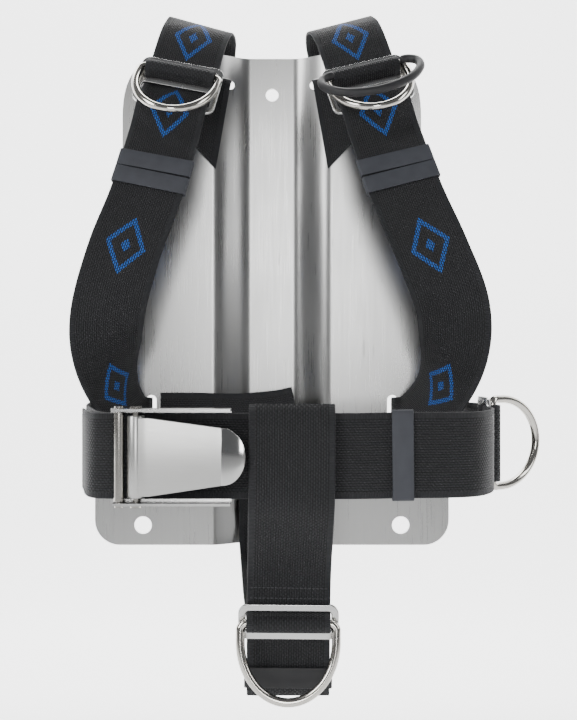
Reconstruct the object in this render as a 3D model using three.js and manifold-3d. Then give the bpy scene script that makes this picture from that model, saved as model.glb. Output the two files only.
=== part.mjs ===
// A diver's backplate harness: a bent stainless plate that bolts to a cylinder band, threaded with
// 50 mm webbing, and its slides, D-rings, rubber keepers and quick-release waist buckle.
// Millimetres. +Z is up, -Y is the side the wearer leans on, +X is the wearer's left.
// The origin is on the rear face of the plate's channel, midway between the two cylinder bolt holes.
import * as THREE from "three";
import { mergeVertices } from "three/addons/utils/BufferGeometryUtils.js";
import Module from "manifold-3d";

const wasm = await Module();
wasm.setup();

// Clearance between two pieces that touch.
const GAP = 0.3;

// Plate.
const PLATE = {
  thickness: 3,
  top: 167.7,
  bottom: -207,
  shoulderHalf: 94,
  sideHalf: 114,
  footHalf: 135,
  footHeight: 45,
  footCorner: 19,
  shoulderCorner: 24,
  channelFloorHalf: 16,
  channelMouthHalf: 46,
  channelDepth: 14,
};
const BOLT_PITCH = 279.4;
const BOLT_HOLE_R = 5;
const FOOT_HOLE = { x: 98.4, z: -192, r: 6.7 };
// The tilt raises the slot's outer end, in degrees.
const SHOULDER_SLOT = { x: 56, belowTop: 17.7, tilt: 10 };
const WAIST_SLOT = { x: 92, z: -120 };
const CROTCH_SLOT_Z = -165;

// Webbing.
const WEB = { width: 50.8, thickness: 2.2 };
const SLOT = { length: WEB.width + 4, width: WEB.thickness + 5.8 };

// Slides and rings.
// The play is what a slide's slot leaves beside webbing that turns round a ring's leg.
const SLIDE = { bar: 4.5, play: 1.5, rail: 4.5, thickness: 2.4, corner: 6 };
const RING = { wireR: 2.75, straight: 10, bow: 36, corner: 3.9 };
const RING_TILT = { chest: 22, hip: 50, crotch: 13 };

// Rubber keepers.
const KEEPER = { width: 12.8, wall: 1.2 };

// Buckle, held on the front of the waist belt.
const BUCKLE = {
  left: -92.5,
  right: -21,
  sheet: 1.5,
  flange: 15,
  pivotX: -76.5,
  headR: 5.2,
  pinR: 2,
  rollerX: -86.5,
  rollerR: 3,
  leverSide: 2.4,
  leverTipWidth: 34,
  leverTip: -12.3,
  leverSheet: 1.8,
  noseLength: 14,
};

const plateFront = -PLATE.channelDepth - PLATE.thickness;
const shoulderSlotZ = PLATE.top - SHOULDER_SLOT.belowTop;
const leverRoot = WEB.width - 2 * BUCKLE.leverSide;
const slideInner = WEB.width + 1.2;
const slideOuter = slideInner + 2 * SLIDE.rail;
// Heights over the centre of the webbing that a slide sits on.
const slideHeight = WEB.thickness / 2 + GAP + SLIDE.thickness / 2;
const legHeight = slideHeight + SLIDE.thickness / 2 + GAP + RING.wireR;
const bightRadius = RING.wireR + 2 * GAP + WEB.thickness / 2;
const slideSlot = 2 * bightRadius + WEB.thickness + SLIDE.play;
const barPitch = SLIDE.bar + slideSlot;
const ringHalf = WEB.width / 2 + GAP + 0.5 + RING.wireR;

const STEEL = { color: 0xb9bbbc, roughness: 0.32, metalness: 1 };
const BLACK_WEB = { color: 0x15161a, roughness: 0.85, metalness: 0 };
const RUBBER = { color: 0x2b2d33, roughness: 0.6, metalness: 0 };

const harness = new THREE.Group();

/** Adds a named mesh with the given material values. */
function add(name, geometry, look) {
  const mesh = new THREE.Mesh(geometry, new THREE.MeshStandardMaterial(look));
  mesh.name = name;
  harness.add(mesh);
  return mesh;
}

/** A closed geometry as a manifold solid. */
function toSolid(geometry) {
  const bare = (geometry.index ? geometry.toNonIndexed() : geometry).clone();
  bare.deleteAttribute("normal");
  bare.deleteAttribute("uv");
  const merged = mergeVertices(bare, 1e-4);
  return new wasm.Manifold(
    new wasm.Mesh({
      numProp: 3,
      vertProperties: merged.attributes.position.array,
      triVerts: new Uint32Array(merged.index.array),
    }),
  );
}

/** A manifold solid as a geometry. */
function toGeometry(solid) {
  const mesh = solid.getMesh();
  const geometry = new THREE.BufferGeometry();
  geometry.setAttribute("position", new THREE.BufferAttribute(new Float32Array(mesh.vertProperties), 3));
  geometry.setIndex(new THREE.BufferAttribute(new Uint32Array(mesh.triVerts), 1));
  return geometry;
}

/** first with the other geometries joined to it. */
function join(first, ...others) {
  return toGeometry(others.reduce((solid, tool) => solid.add(toSolid(tool)), toSolid(first)));
}

/** first with the other geometries cut from it. */
function cut(first, ...tools) {
  return toGeometry(tools.reduce((solid, tool) => solid.subtract(toSolid(tool)), toSolid(first)));
}

/** A shape drawn in X and Z, made solid from yLow to yHigh. */
function uprightExtrusion(shape, yLow, yHigh, curveSegments = 8) {
  const geometry = new THREE.ExtrudeGeometry(shape, {
    depth: yHigh - yLow,
    bevelEnabled: false,
    curveSegments,
  });
  return geometry.rotateX(Math.PI / 2).translate(0, yHigh, 0);
}

/** A rectangle about the origin with round corners. */
function roundedRectangle(width, height, radius, target = new THREE.Shape()) {
  const w = width / 2;
  const h = height / 2;
  const r = Math.min(radius, w, h);
  target.moveTo(-w + r, -h);
  target.lineTo(w - r, -h);
  target.absarc(w - r, -h + r, r, -Math.PI / 2, 0, false);
  target.lineTo(w, h - r);
  target.absarc(w - r, h - r, r, 0, Math.PI / 2, false);
  target.lineTo(-w + r, h);
  target.absarc(-w + r, h - r, r, Math.PI / 2, Math.PI, false);
  target.lineTo(-w, -h + r);
  target.absarc(-w + r, -h + r, r, Math.PI, 1.5 * Math.PI, false);
  return target;
}

// ---- Plate ----

/** Depth of the bent sheet's front face at a distance from the middle. */
function sheetFront(x) {
  const share = (Math.abs(x) - PLATE.channelFloorHalf) / (PLATE.channelMouthHalf - PLATE.channelFloorHalf);
  const s = THREE.MathUtils.clamp(share, 0, 1);
  return -PLATE.thickness - PLATE.channelDepth * s * s * (3 - 2 * s);
}

function makePlate() {
  const wallSteps = 8;
  const xs = [PLATE.footHalf + 5];
  for (let i = 0; i <= wallSteps; i += 1) {
    xs.push(THREE.MathUtils.lerp(PLATE.channelMouthHalf, PLATE.channelFloorHalf, i / wallSteps));
  }
  const across = [...xs.map((x) => -x), ...[...xs].reverse()];
  const front = across.map((x) => new THREE.Vector2(x, sheetFront(x)));
  const back = across.map((x) => {
    const slope = (sheetFront(x + 0.01) - sheetFront(x - 0.01)) / 0.02;
    const normal = new THREE.Vector2(-slope, 1).normalize();
    return new THREE.Vector2(x, sheetFront(x)).addScaledVector(normal, PLATE.thickness);
  });
  const section = new THREE.Shape([...front, ...back.reverse()]);
  const height = PLATE.top - PLATE.bottom;
  const sheet = new THREE.ExtrudeGeometry(section, { depth: height + 20, bevelEnabled: false });
  sheet.translate(0, 0, PLATE.bottom - 10);

  const { top, bottom, shoulderHalf, sideHalf, footHalf, footHeight, footCorner, shoulderCorner } = PLATE;
  const waist = bottom + footHeight;
  const outline = new THREE.Shape();
  outline.moveTo(-footHalf + footCorner, bottom);
  outline.lineTo(footHalf - footCorner, bottom);
  outline.absarc(footHalf - footCorner, bottom + footCorner, footCorner, -Math.PI / 2, 0, false);
  outline.lineTo(footHalf, waist - 8);
  outline.quadraticCurveTo(footHalf, waist + 4, footHalf - 10, waist + 8);
  outline.quadraticCurveTo(sideHalf, waist + 13, sideHalf, waist + 22);
  outline.lineTo(sideHalf, top - 2 * shoulderCorner);
  outline.quadraticCurveTo(sideHalf, top - shoulderCorner / 2, shoulderHalf, top - shoulderCorner / 4);
  outline.quadraticCurveTo(shoulderHalf - 12, top, shoulderHalf - 26, top);
  outline.lineTo(-shoulderHalf + 26, top);
  outline.quadraticCurveTo(-shoulderHalf + 12, top, -shoulderHalf, top - shoulderCorner / 4);
  outline.quadraticCurveTo(-sideHalf, top - shoulderCorner / 2, -sideHalf, top - 2 * shoulderCorner);
  outline.lineTo(-sideHalf, waist + 22);
  outline.quadraticCurveTo(-sideHalf, waist + 13, -footHalf + 10, waist + 8);
  outline.quadraticCurveTo(-footHalf, waist + 4, -footHalf, waist - 8);
  outline.lineTo(-footHalf, bottom + footCorner);
  outline.absarc(-footHalf + footCorner, bottom + footCorner, footCorner, Math.PI, 1.5 * Math.PI, false);
  const yLow = -40;
  const yHigh = 20;
  const blank = toSolid(sheet).intersect(toSolid(uprightExtrusion(outline, yLow, yHigh)));

  const tools = [];
  const hole = (x, z, r) => {
    tools.push(new THREE.CylinderGeometry(r, r, yHigh - yLow, 24).translate(x, (yLow + yHigh) / 2, z));
  };
  const slot = (x, z, degrees) => {
    const tool = uprightExtrusion(roundedRectangle(SLOT.length, SLOT.width, SLOT.width / 2), yLow, yHigh);
    tools.push(tool.rotateY(THREE.MathUtils.degToRad(degrees)).translate(x, 0, z));
  };
  hole(0, BOLT_PITCH / 2, BOLT_HOLE_R);
  hole(0, -BOLT_PITCH / 2, BOLT_HOLE_R);
  for (const side of [-1, 1]) {
    hole(side * FOOT_HOLE.x, FOOT_HOLE.z, FOOT_HOLE.r);
    slot(side * SHOULDER_SLOT.x, shoulderSlotZ, -side * SHOULDER_SLOT.tilt);
    slot(side * WAIST_SLOT.x, WAIST_SLOT.z, 90);
  }
  slot(0, CROTCH_SLOT_Z, 0);
  return cut(toGeometry(blank), ...tools);
}

// ---- Webbing ----

/** The line that a length of webbing follows: rows of x, y, z and the direction its outer face looks. */
class Route {
  constructor(rows) {
    const curve = (columns) =>
      new THREE.CatmullRomCurve3(
        rows.map((row) => new THREE.Vector3(...row.slice(columns, columns + 3))),
        false,
        "catmullrom",
        0.5,
      );
    const line = curve(0);
    const facing = curve(3);
    const samples = 24 * (rows.length - 1);
    this.places = [];
    let length = 0;
    for (let i = 0; i <= samples; i += 1) {
      const point = line.getPoint(i / samples);
      if (i) length += point.distanceTo(this.places[i - 1].point);
      this.places.push({
        length,
        point,
        tangent: line.getTangent(i / samples),
        facing: facing.getPoint(i / samples),
      });
    }
    this.length = length;
  }

  /** The place a given length along the route, with its own directions: along, across and out. */
  at(length) {
    const wanted = THREE.MathUtils.clamp(length, 0, this.length);
    let i = 1;
    while (i < this.places.length - 1 && this.places[i].length < wanted) i += 1;
    const a = this.places[i - 1];
    const b = this.places[i];
    const share = (wanted - a.length) / Math.max(b.length - a.length, 1e-9);
    const point = a.point.clone().lerp(b.point, share);
    const along = a.tangent.clone().lerp(b.tangent, share).normalize();
    const facing = a.facing.clone().lerp(b.facing, share);
    const out = facing.addScaledVector(along, -facing.dot(along)).normalize();
    return { point, along, out, across: along.clone().cross(out).normalize() };
  }

  /** The length along the route at which test(point) first holds. */
  lengthWhere(test) {
    return this.places.find((place) => test(place.point)).length;
  }
}

/** Offsets, along and out, of webbing that climbs over a ring's leg and, with three bars, over the last bar. */
function slideOffsets(bars) {
  const rows = [[-barPitch, 0], [-bightRadius - 1.9, 0.05], [-bightRadius - 0.4, 1.3]];
  const arcSteps = 12;
  for (let i = 0; i <= arcSteps; i += 1) {
    const angle = Math.PI * (1 - i / arcSteps);
    rows.push([bightRadius * Math.cos(angle), legHeight + bightRadius * Math.sin(angle)]);
  }
  rows.push([bightRadius + 0.4, 1.3], [bightRadius + 1.9, 0.05], [barPitch / 2 + 3, 0]);
  if (bars === 2) return [...rows, [barPitch, 0]];
  const lastBar = 1.5 * barPitch;
  const over = slideHeight + SLIDE.thickness / 2 + GAP + WEB.thickness / 2;
  rows.push([lastBar - 10.5, 1.1], [lastBar - 7, 3.6], [lastBar - 4, over], [lastBar, over + 0.2]);
  rows.push([lastBar + 4, over], [lastBar + 10, 2.4], [lastBar + 17, 0.3], [lastBar + 22, 0]);
  return rows;
}

/** Stations along a route: evenly spaced, but following slideOffsets where a slide is threaded on. */
function stations(route, step, slides = []) {
  const found = [];
  const offsets = slides.flatMap(({ at, way, bars }) =>
    slideOffsets(bars).map(([along, out]) => ({ length: at + way * along, out })),
  );
  const covered = slides.map(({ at, way, bars }) => {
    const ends = slideOffsets(bars).map(([along]) => at + way * along);
    return [Math.min(...ends), Math.max(...ends)];
  });
  const count = Math.ceil(route.length / step);
  for (let i = 0; i <= count; i += 1) {
    const length = (route.length * i) / count;
    if (!covered.some(([low, high]) => length > low - 1 && length < high + 1)) {
      found.push({ length, out: 0 });
    }
  }
  found.push(...offsets);
  found.sort((a, b) => a.length - b.length);
  return found.map((station) => {
    const place = route.at(station.length);
    return {
      point: place.point.clone().addScaledVector(place.out, station.out),
      across: place.across,
      out: place.out,
    };
  });
}

/** A flat band through the stations: a box with one slice for each station, bent to follow them. */
function band(list, endSkew = 0) {
  const last = list.length - 1;
  const box = new THREE.BoxGeometry(1, WEB.width, WEB.thickness, last, 2, 1);
  const position = box.attributes.position;
  const vertex = new THREE.Vector3();
  for (let i = 0; i < position.count; i += 1) {
    vertex.fromBufferAttribute(position, i);
    const slice = Math.round((vertex.x + 0.5) * last);
    const { point, across } = list[slice];
    const before = list[Math.max(slice - 1, 0)].point;
    const after = list[Math.min(slice + 1, last)].point;
    const along = after.clone().sub(before).normalize();
    const out = along.clone().cross(across).normalize();
    const placed = point
      .clone()
      .addScaledVector(across, vertex.y)
      .addScaledVector(out, vertex.z);
    if (slice === last) placed.addScaledVector(along, vertex.y * endSkew);
    position.setXYZ(i, placed.x, placed.y, placed.z);
  }
  return box;
}

/** Places a geometry drawn across, along and out at a place of a route; way -1 turns it end for end. */
function seat(geometry, place, way = 1, lift = 0) {
  const along = place.along.clone().multiplyScalar(way);
  const across = along.clone().cross(place.out).normalize();
  const basis = new THREE.Matrix4().makeBasis(across, along, place.out);
  const origin = place.point.clone().addScaledVector(place.out, lift);
  return geometry.applyMatrix4(basis.setPosition(origin));
}

/** A slide of two or three bars, with its first slot about the origin. */
function makeSlide(bars) {
  const height = bars * SLIDE.bar + (bars - 1) * slideSlot;
  const drop = ((bars - 2) * barPitch) / 2;
  const outline = roundedRectangle(slideOuter, height, SLIDE.corner).getPoints(5);
  const frame = new THREE.Shape(outline.map((p) => new THREE.Vector2(p.x, p.y + drop)));
  for (let i = 0; i < bars - 1; i += 1) {
    const opening = roundedRectangle(slideInner, slideSlot, 1.5).getPoints(3);
    frame.holes.push(new THREE.Path(opening.map((p) => new THREE.Vector2(p.x, p.y + i * barPitch))));
  }
  const geometry = new THREE.ExtrudeGeometry(frame, { depth: SLIDE.thickness, bevelEnabled: false });
  return geometry.translate(0, 0, -SLIDE.thickness / 2);
}

/** A bent D of round wire with its straight leg on the X axis and its bow towards +Y. */
function makeRing(wireR = RING.wireR, half = ringHalf, bow = RING.bow) {
  const outline = new THREE.Path();
  const r = RING.corner;
  outline.moveTo(half - r, 0);
  outline.absarc(half - r, r, r, -Math.PI / 2, 0, false);
  outline.lineTo(half, RING.straight);
  outline.absellipse(0, RING.straight, half, bow, 0, Math.PI, false, 0);
  outline.lineTo(-half, r);
  outline.absarc(-half + r, r, r, Math.PI, 1.5 * Math.PI, false);
  outline.closePath();
  const points = outline.getSpacedPoints(44).slice(0, -1);
  const line = new THREE.CatmullRomCurve3(points.map((p) => new THREE.Vector3(p.x, p.y, 0)), true);
  return new THREE.TubeGeometry(line, 60, wireR, 8, true);
}

/** The rubber loop that hangs in front of the left chest ring, from one end of its leg to the other. */
function makeRetainer() {
  const points = [
    [-24.5, 7.6], [-30.5, 8.5], [-35.5, 14], [-34, 24], [-24, 35], [-8, 41],
    [8, 41], [24, 35], [34, 24], [35.5, 14], [30.5, 8.5], [24.5, 7.6],
  ];
  const line = new THREE.CatmullRomCurve3(points.map(([x, y]) => new THREE.Vector3(x, y, 0)));
  const section = new THREE.Shape().absarc(0, 0, 3.1, 0, 2 * Math.PI, false);
  return new THREE.ExtrudeGeometry(section, { steps: 44, extrudePath: line, curveSegments: 5 });
}

/** A rubber band around webbing of a total thickness. */
function makeKeeper(inside = WEB.thickness) {
  const wide = WEB.width + 2 * GAP;
  const deep = inside + 2 * GAP;
  const outer = roundedRectangle(wide + 2 * KEEPER.wall, deep + 2 * KEEPER.wall, KEEPER.wall + 0.6);
  outer.holes.push(roundedRectangle(wide, deep, 0.6, new THREE.Path()));
  const geometry = new THREE.ExtrudeGeometry(outer, {
    depth: KEEPER.width,
    bevelEnabled: false,
    curveSegments: 2,
  });
  return geometry.translate(0, 0, -KEEPER.width / 2).rotateX(Math.PI / 2);
}

/** Seats a slide and its ring on a route and returns what its webbing must climb over. */
function fitRing(prefix, route, threaded, tilt, ringName) {
  const place = route.at(threaded.at);
  add(prefix + "_slide", seat(makeSlide(threaded.bars), place, threaded.way, slideHeight), STEEL);
  const ring = makeRing().rotateX(THREE.MathUtils.degToRad(tilt));
  add(ringName, seat(ring, place, threaded.way, legHeight), STEEL);
  return threaded;
}

/** Rows whose heights are given from the middle of the shoulder slots. */
const fromShoulderSlot = (rows) => rows.map(([x, y, z, ...facing]) => [x, y, z + shoulderSlotZ, ...facing]);

// Shoulder webbing: from behind the plate's slot, over its top edge and down to the waist slot.
const RIGHT_SHOULDER = new Route([
  ...fromShoulderSlot([
    [-57.5, -2.5, 0, -0.26, 1, 0], [-55, -1, 13, -0.26, 1, 0.1], [-53, -6, 29, 0, 0.9, 0.4],
    [-52.6, -22, 36.5, 0.3, 0.2, 1], [-54.7, -36.5, 31, 0.1, -0.7, 0.7], [-58.1, -43.9, 20, 0, -0.9, 0.35],
    [-62.9, -51.6, 0, 0, -0.9, 0.35], [-67.4, -58.9, -19, 0, -0.9, 0.35], [-74.9, -70.9, -50, 0, -0.9, 0.35],
    [-86.8, -90.2, -100, 0, -0.9, 0.35], [-101, -100, -142, 0, -1, 0.1],
  ]),
  [-112, -99, -34, 0.15, -1, 0], [-113.5, -86, -66, 0.5, -0.85, 0], [-107, -62, -96, 0.9, -0.45, 0],
  [-96, -40, -115, 1, 0, 0], [-92, -25, -120, 1, 0, 0], [-92, -15.4, -120, 1, 0, 0],
]);
const LEFT_SHOULDER = new Route([
  ...fromShoulderSlot([
    [56.5, -2.5, 0, 0.26, 1, 0], [55, -0.5, 13, 0.26, 1, 0.1], [51.5, -5.5, 29, 0, 0.9, 0.4],
    [50.4, -22, 37, -0.3, 0.2, 1], [53.4, -37, 32.5, -0.1, -0.7, 0.7], [57.9, -45.2, 22, 0, -0.9, 0.35],
    [64.6, -54, 0, 0, -0.9, 0.35], [70.3, -61.7, -19, 0, -0.9, 0.35], [79.8, -74.1, -50, 0, -0.9, 0.35],
    [95, -94.3, -100, 0, -0.9, 0.35], [112, -102, -142, 0, -1, 0.1],
  ]),
  [126, -99, -30, -0.15, -1, 0], [127, -88, -64, -0.45, -0.85, 0], [117, -64, -95, -0.85, -0.5, 0],
  [98, -41, -115, -1, 0, 0], [92, -25, -120, -1, 0, 0], [92, -15.4, -120, -1, 0, 0],
]);
// Waist webbing: from behind each waist slot, round the plate's edge and forward to the buckle.
const RIGHT_WAIST = new Route([
  [-92, -12.6, -120, -1, 0, 0], [-94.5, -7, -120, -0.6, 0.8, 0], [-104, -5, -120, 0, 1, 0],
  [-117, -7, -120, -0.4, 1, 0], [-125, -18, -120, -1, 0.3, 0], [-130, -60, -121.5, -1, 0, 0],
  [-125, -104, -122, -1, 0, 0], [-114, -150, -122, -1, -0.1, 0], [-107.5, -178, -122, -1, -0.2, 0],
  [-103, -193, -122, -1, -0.3, 0], [-96, -202, -122.5, -0.6, -1, 0], [-84, -204.3, -122.5, 0, -1, 0],
  [-58, -204.3, -122.5, 0, -1, 0],
]);
const LEFT_WAIST = new Route([
  [92, -12.6, -120, 1, 0, 0], [94.5, -7, -120, 0.6, 0.8, 0], [104, -5, -120, 0, 1, 0],
  [117, -7, -120, 0.4, 1, 0], [127, -18, -120, 1, 0.4, 0], [136, -50, -120.5, 1, 0.1, 0],
  [140, -80, -121, 1, 0, 0], [141, -105, -121, 1, 0, 0], [141, -130, -121, 1, 0, 0],
  [141, -155, -121, 1, 0, 0], [140, -172, -121, 1, 0, 0], [135, -190, -121.5, 0.9, -0.4, 0],
  [124, -203, -122, 0.4, -0.9, 0], [105, -209.5, -122, 0.1, -1, 0], [80, -211, -122, 0, -1, 0],
  [50, -211, -122.5, 0, -1, 0], [0, -210.5, -122.5, 0, -1, 0], [-30, -209.4, -122.5, 0, -1, 0],
  [-62, -209.4, -122.5, 0, -1, 0], [-82, -209.4, -122.5, 0, -1, 0], [-94, -209.2, -122.5, 0, -1, 0],
  [-103, -205.5, -122.5, -0.6, -1, 0], [-109, -195, -122, -1, -0.4, 0], [-113, -178, -122, -1, -0.1, 0],
  [-119, -152, -122, -1, -0.1, 0],
]);
// The belt's spare end, tucked between the belt and the plate.
const TUCKED_END = new Route([
  [-84, -25, -116, 0, -1, 0], [-60, -24, -116, 0, -1, 0], [-25, -26, -116.5, 0, -1, 0],
  [5, -30, -114, 0, -1, 0], [20, -33, -111, 0, -1, 0],
]);
const beltTop = -122.5 + WEB.width / 2;
// Crotch webbing: bolted behind the plate, through its slot, down and forward, and up to the belt.
const CROTCH = new Route([
  [0, 5, -125, 0, 1, 0], [0, 5, -138, 0, 1, 0], [0, 5, -154, 0, 1, 0],
  [0, 4, -161.2, 0, 1, -0.4], [0, -1.4, -164.4, 0, 1, -1],
  [0, -7.2, -166.8, 0, 1, -0.8], [0, -9.4, -172, 0, 1, -0.2], [0, -9.8, -181, 0, 1, -0.1],
  [0, -9.8, -200, 0, 1, -0.2], [2, -24, -219, 0, 0.6, -0.8], [6, -80, -230, 0, 0.2, -1],
  [10.5, -140, -235, 0, 0.2, -1], [11.8, -168, -239, 0, 0.5, -0.9], [12.3, -176.6, -246, 0, 0.9, -0.5], [12.4, -178.3, -254, 0, 1, 0],
  [12.4, -178.6, -266, 0, 1, -0.1], [12.4, -182, -271.6, 0, 0, -1], [12.4, -185.4, -266, 0, -1, 0],
  [12.5, -186.6, -254, 0, -1, 0], [12.6, -188.7, -233, 0, -1, 0], [12.8, -190.8, -212, 0, -1, 0],
  [13.2, -194, -192, 0, -1, 0], [14, -208, -166, 0, -1, 0], [14.5, -215.4, -150, 0, -1, 0],
  [14.8, -216, -125, 0, -1, 0], [14.8, -215.8, beltTop - 6.9, 0, -1, 0.1],
  [14.8, -211, beltTop + 4.6, 0, 0, 1],
  [14.8, -205.5, beltTop - 5.9, 0, 1, 0.1], [14.8, -205, -134, 0, 1, 0], [14.6, -205, -152, 0, 1, 0],
]);

add("backplate", makePlate(), STEEL);

const chestLegZ = shoulderSlotZ - 10;
const keeperFromLeg = [74, 74 + KEEPER.width + 0.9];
/** Where a chest ring's leg lies on a shoulder route. */
const chestLeg = (route) => route.lengthWhere((p) => p.y < -46 && p.z < chestLegZ);

for (const [side, route] of [["right", RIGHT_SHOULDER], ["left", LEFT_SHOULDER]]) {
  const chest = { at: chestLeg(route), way: 1, bars: 3 };
  fitRing(side + "_shoulder", route, chest, RING_TILT.chest, side + "_chest_ring");
  add(side + "_shoulder_webbing", band(stations(route, 8, [chest])), BLACK_WEB);
  keeperFromLeg.forEach((distance, i) => {
    const keeper = seat(makeKeeper(), route.at(chest.at + distance));
    add(side + "_keeper_" + ["upper", "lower"][i], keeper, RUBBER);
  });
  const sign = side === "left" ? 1 : -1;
  const tilt = THREE.MathUtils.degToRad(SHOULDER_SLOT.tilt);
  const down = new THREE.Vector3(sign * Math.sin(tilt), 0, -Math.cos(tilt));
  const slotAt = new THREE.Vector3(sign * SHOULDER_SLOT.x, 0, shoulderSlotZ);
  const inFront = plateFront - GAP - WEB.thickness / 2 - 1;
  const anchor = new Route(
    [[-13.2, -1.6, 0, 1], [-16.5, -1, -0.4, 1], [inFront + 0.4, 3.5, -1, 0.4], [inFront, 10, -1, 0],
      [inFront, 28, -1, 0], [inFront, 48, -1, 0]].map(([y, drop, faceY, faceZ]) => {
      const p = slotAt.clone().addScaledVector(down, drop);
      return [p.x, y, p.z, -down.x * faceZ, faceY, -down.z * faceZ];
    }),
  );
  add(side + "_anchor_webbing", band(stations(anchor, 3), sign * 0.75), BLACK_WEB);
}
const retainer = makeRetainer()
  .translate(0, 0, 6.5)
  .rotateX(THREE.MathUtils.degToRad(RING_TILT.chest + 5));
add("left_ring_retainer", seat(retainer, LEFT_SHOULDER.at(chestLeg(LEFT_SHOULDER)), 1, legHeight), RUBBER);

// Waist belt with its hip ring.
const hip = { at: LEFT_WAIST.lengthWhere((p) => p.x > 120 && p.y < -127), way: -1, bars: 3 };
fitRing("hip", LEFT_WAIST, hip, RING_TILT.hip, "hip_ring");
add("left_waist_webbing", band(stations(LEFT_WAIST, 7, [hip])), BLACK_WEB);
add("right_waist_webbing", band(stations(RIGHT_WAIST, 7)), BLACK_WEB);
add("tucked_belt_end", band(stations(TUCKED_END, 9)), BLACK_WEB);
const beltKeeperAt = LEFT_WAIST.lengthWhere((p) => p.y < -200 && p.x < 81);
add("waist_keeper", seat(makeKeeper(), LEFT_WAIST.at(beltKeeperAt)), RUBBER);

// Crotch strap with its ring, and the keeper that holds its two runs together.
const crotchLegZ = -224.6;
const crotch = { at: CROTCH.lengthWhere((p) => p.y < -183 && p.z > crotchLegZ), way: -1, bars: 2 };
fitRing("crotch", CROTCH, crotch, RING_TILT.crotch, "crotch_ring");
// The lower cylinder bolt passes through the strap's upper end and holds it.
const boltEyelet = new THREE.CylinderGeometry(BOLT_HOLE_R + 0.6, BOLT_HOLE_R + 0.6, 20, 24);
boltEyelet.translate(0, 5, -BOLT_PITCH / 2);
add("crotch_webbing", cut(band(stations(CROTCH, 4, [crotch])), boltEyelet), BLACK_WEB);
const frontRun = CROTCH.at(CROTCH.lengthWhere((p) => p.y < -184.5 && p.z > -259.5));
const backRun = CROTCH.at(CROTCH.lengthWhere((p) => p.y < -176 && p.z < -259.5));
const runGap = frontRun.point.distanceTo(backRun.point);
add("crotch_keeper", seat(makeKeeper(runGap + WEB.thickness + 0.8), frontRun, -1, -runGap / 2), RUBBER);

// ---- Buckle ----
const beltPlace = LEFT_WAIST.at(LEFT_WAIST.lengthWhere((p) => p.y < -200 && p.x < BUCKLE.pivotX));
const beltY = beltPlace.point.y;
const beltZ = beltPlace.point.z;
const baseFront = beltY + WEB.thickness / 2 + GAP;
const headY = beltY - WEB.thickness / 2 - GAP - BUCKLE.headR;
const flangeZ = WEB.width / 2 + 1.2;

function box(x0, x1, y0, y1, z0, z1) {
  return new THREE.BoxGeometry(x1 - x0, y1 - y0, z1 - z0).translate(
    (x0 + x1) / 2,
    (y0 + y1) / 2,
    beltZ + (z0 + z1) / 2,
  );
}

function upright(radius, height, x, y) {
  return new THREE.CylinderGeometry(radius, radius, height, 20).rotateX(Math.PI / 2).translate(x, y, beltZ);
}

function makeBuckleFrame() {
  const { left, right, sheet, flange } = BUCKLE;
  const y0 = baseFront - flange;
  const y1 = baseFront + sheet;
  const base = box(left, right, baseFront, y1, -flangeZ - sheet, flangeZ + sheet);
  const flanges = [-1, 1].map((side) => {
    const low = side > 0 ? flangeZ : -flangeZ - sheet;
    return box(left + 3, right, y0, y1, low, low + sheet);
  });
  const bores = [
    upright(BUCKLE.pinR + 0.2, 2 * flangeZ + 20, BUCKLE.pivotX, headY),
    upright(1.7, 2 * flangeZ + 20, BUCKLE.rollerX, headY),
    box(right - 22, right - 10, baseFront - 5, y1 + 5, -18, 18),
  ];
  return cut(join(base, ...flanges), ...bores);
}

function makeLever() {
  const { pivotX, headR, leverTipWidth, leverTip, leverSheet, noseLength } = BUCKLE;
  const face = headY - headR + 0.4;
  const noseX = leverTip - noseLength;
  const side = new THREE.Shape([
    [pivotX, face], [pivotX + 6, face], [noseX, face + 3.2], [leverTip + 1, face + 0.6],
    [leverTip + 1, face + 0.6 + leverSheet], [noseX, face + 3.2 + leverSheet],
    [pivotX + 6, face + leverSheet], [pivotX, face + leverSheet],
  ].map(([x, y]) => new THREE.Vector2(x, y)));
  const blade = new THREE.ExtrudeGeometry(side, { depth: leverRoot, bevelEnabled: false });
  blade.translate(0, 0, beltZ - leverRoot / 2);
  const plan = new THREE.Shape();
  const tip = leverTipWidth / 2;
  plan.moveTo(pivotX, -leverRoot / 2);
  plan.lineTo(pivotX + 8, -leverRoot / 2);
  plan.lineTo(noseX, -tip);
  plan.absellipse(noseX, 0, noseLength, tip, -Math.PI / 2, Math.PI / 2, false, 0);
  plan.lineTo(pivotX + 8, leverRoot / 2);
  plan.lineTo(pivotX, leverRoot / 2);
  const outline = uprightExtrusion(plan, -260, -190, 12).translate(0, 0, beltZ);
  const shaped = toSolid(blade).intersect(toSolid(outline));
  const head = toSolid(upright(headR, leverRoot + 2, pivotX, headY));
  const bore = toSolid(upright(BUCKLE.pinR + 0.25, leverRoot + 20, pivotX, headY));
  return toGeometry(shaped.add(head).subtract(bore));
}

/** A pin with a flat head at each end, standing upright. */
function makePin(radius, headRadius, x) {
  const reach = flangeZ + BUCKLE.sheet + GAP;
  const profile = [
    [0, -reach - 1.2], [headRadius, -reach - 1.2], [headRadius, -reach], [radius, -reach],
    [radius, reach], [headRadius, reach], [headRadius, reach + 1.2], [0, reach + 1.2],
  ].map(([r, z]) => new THREE.Vector2(r, z));
  return new THREE.LatheGeometry(profile, 16).rotateX(Math.PI / 2).translate(x, headY, beltZ);
}

function makeRoller() {
  const outer = upright(BUCKLE.rollerR, 2 * flangeZ - 1.2, BUCKLE.rollerX, headY);
  return cut(outer, upright(1.75, 2 * flangeZ + 20, BUCKLE.rollerX, headY));
}

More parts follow.
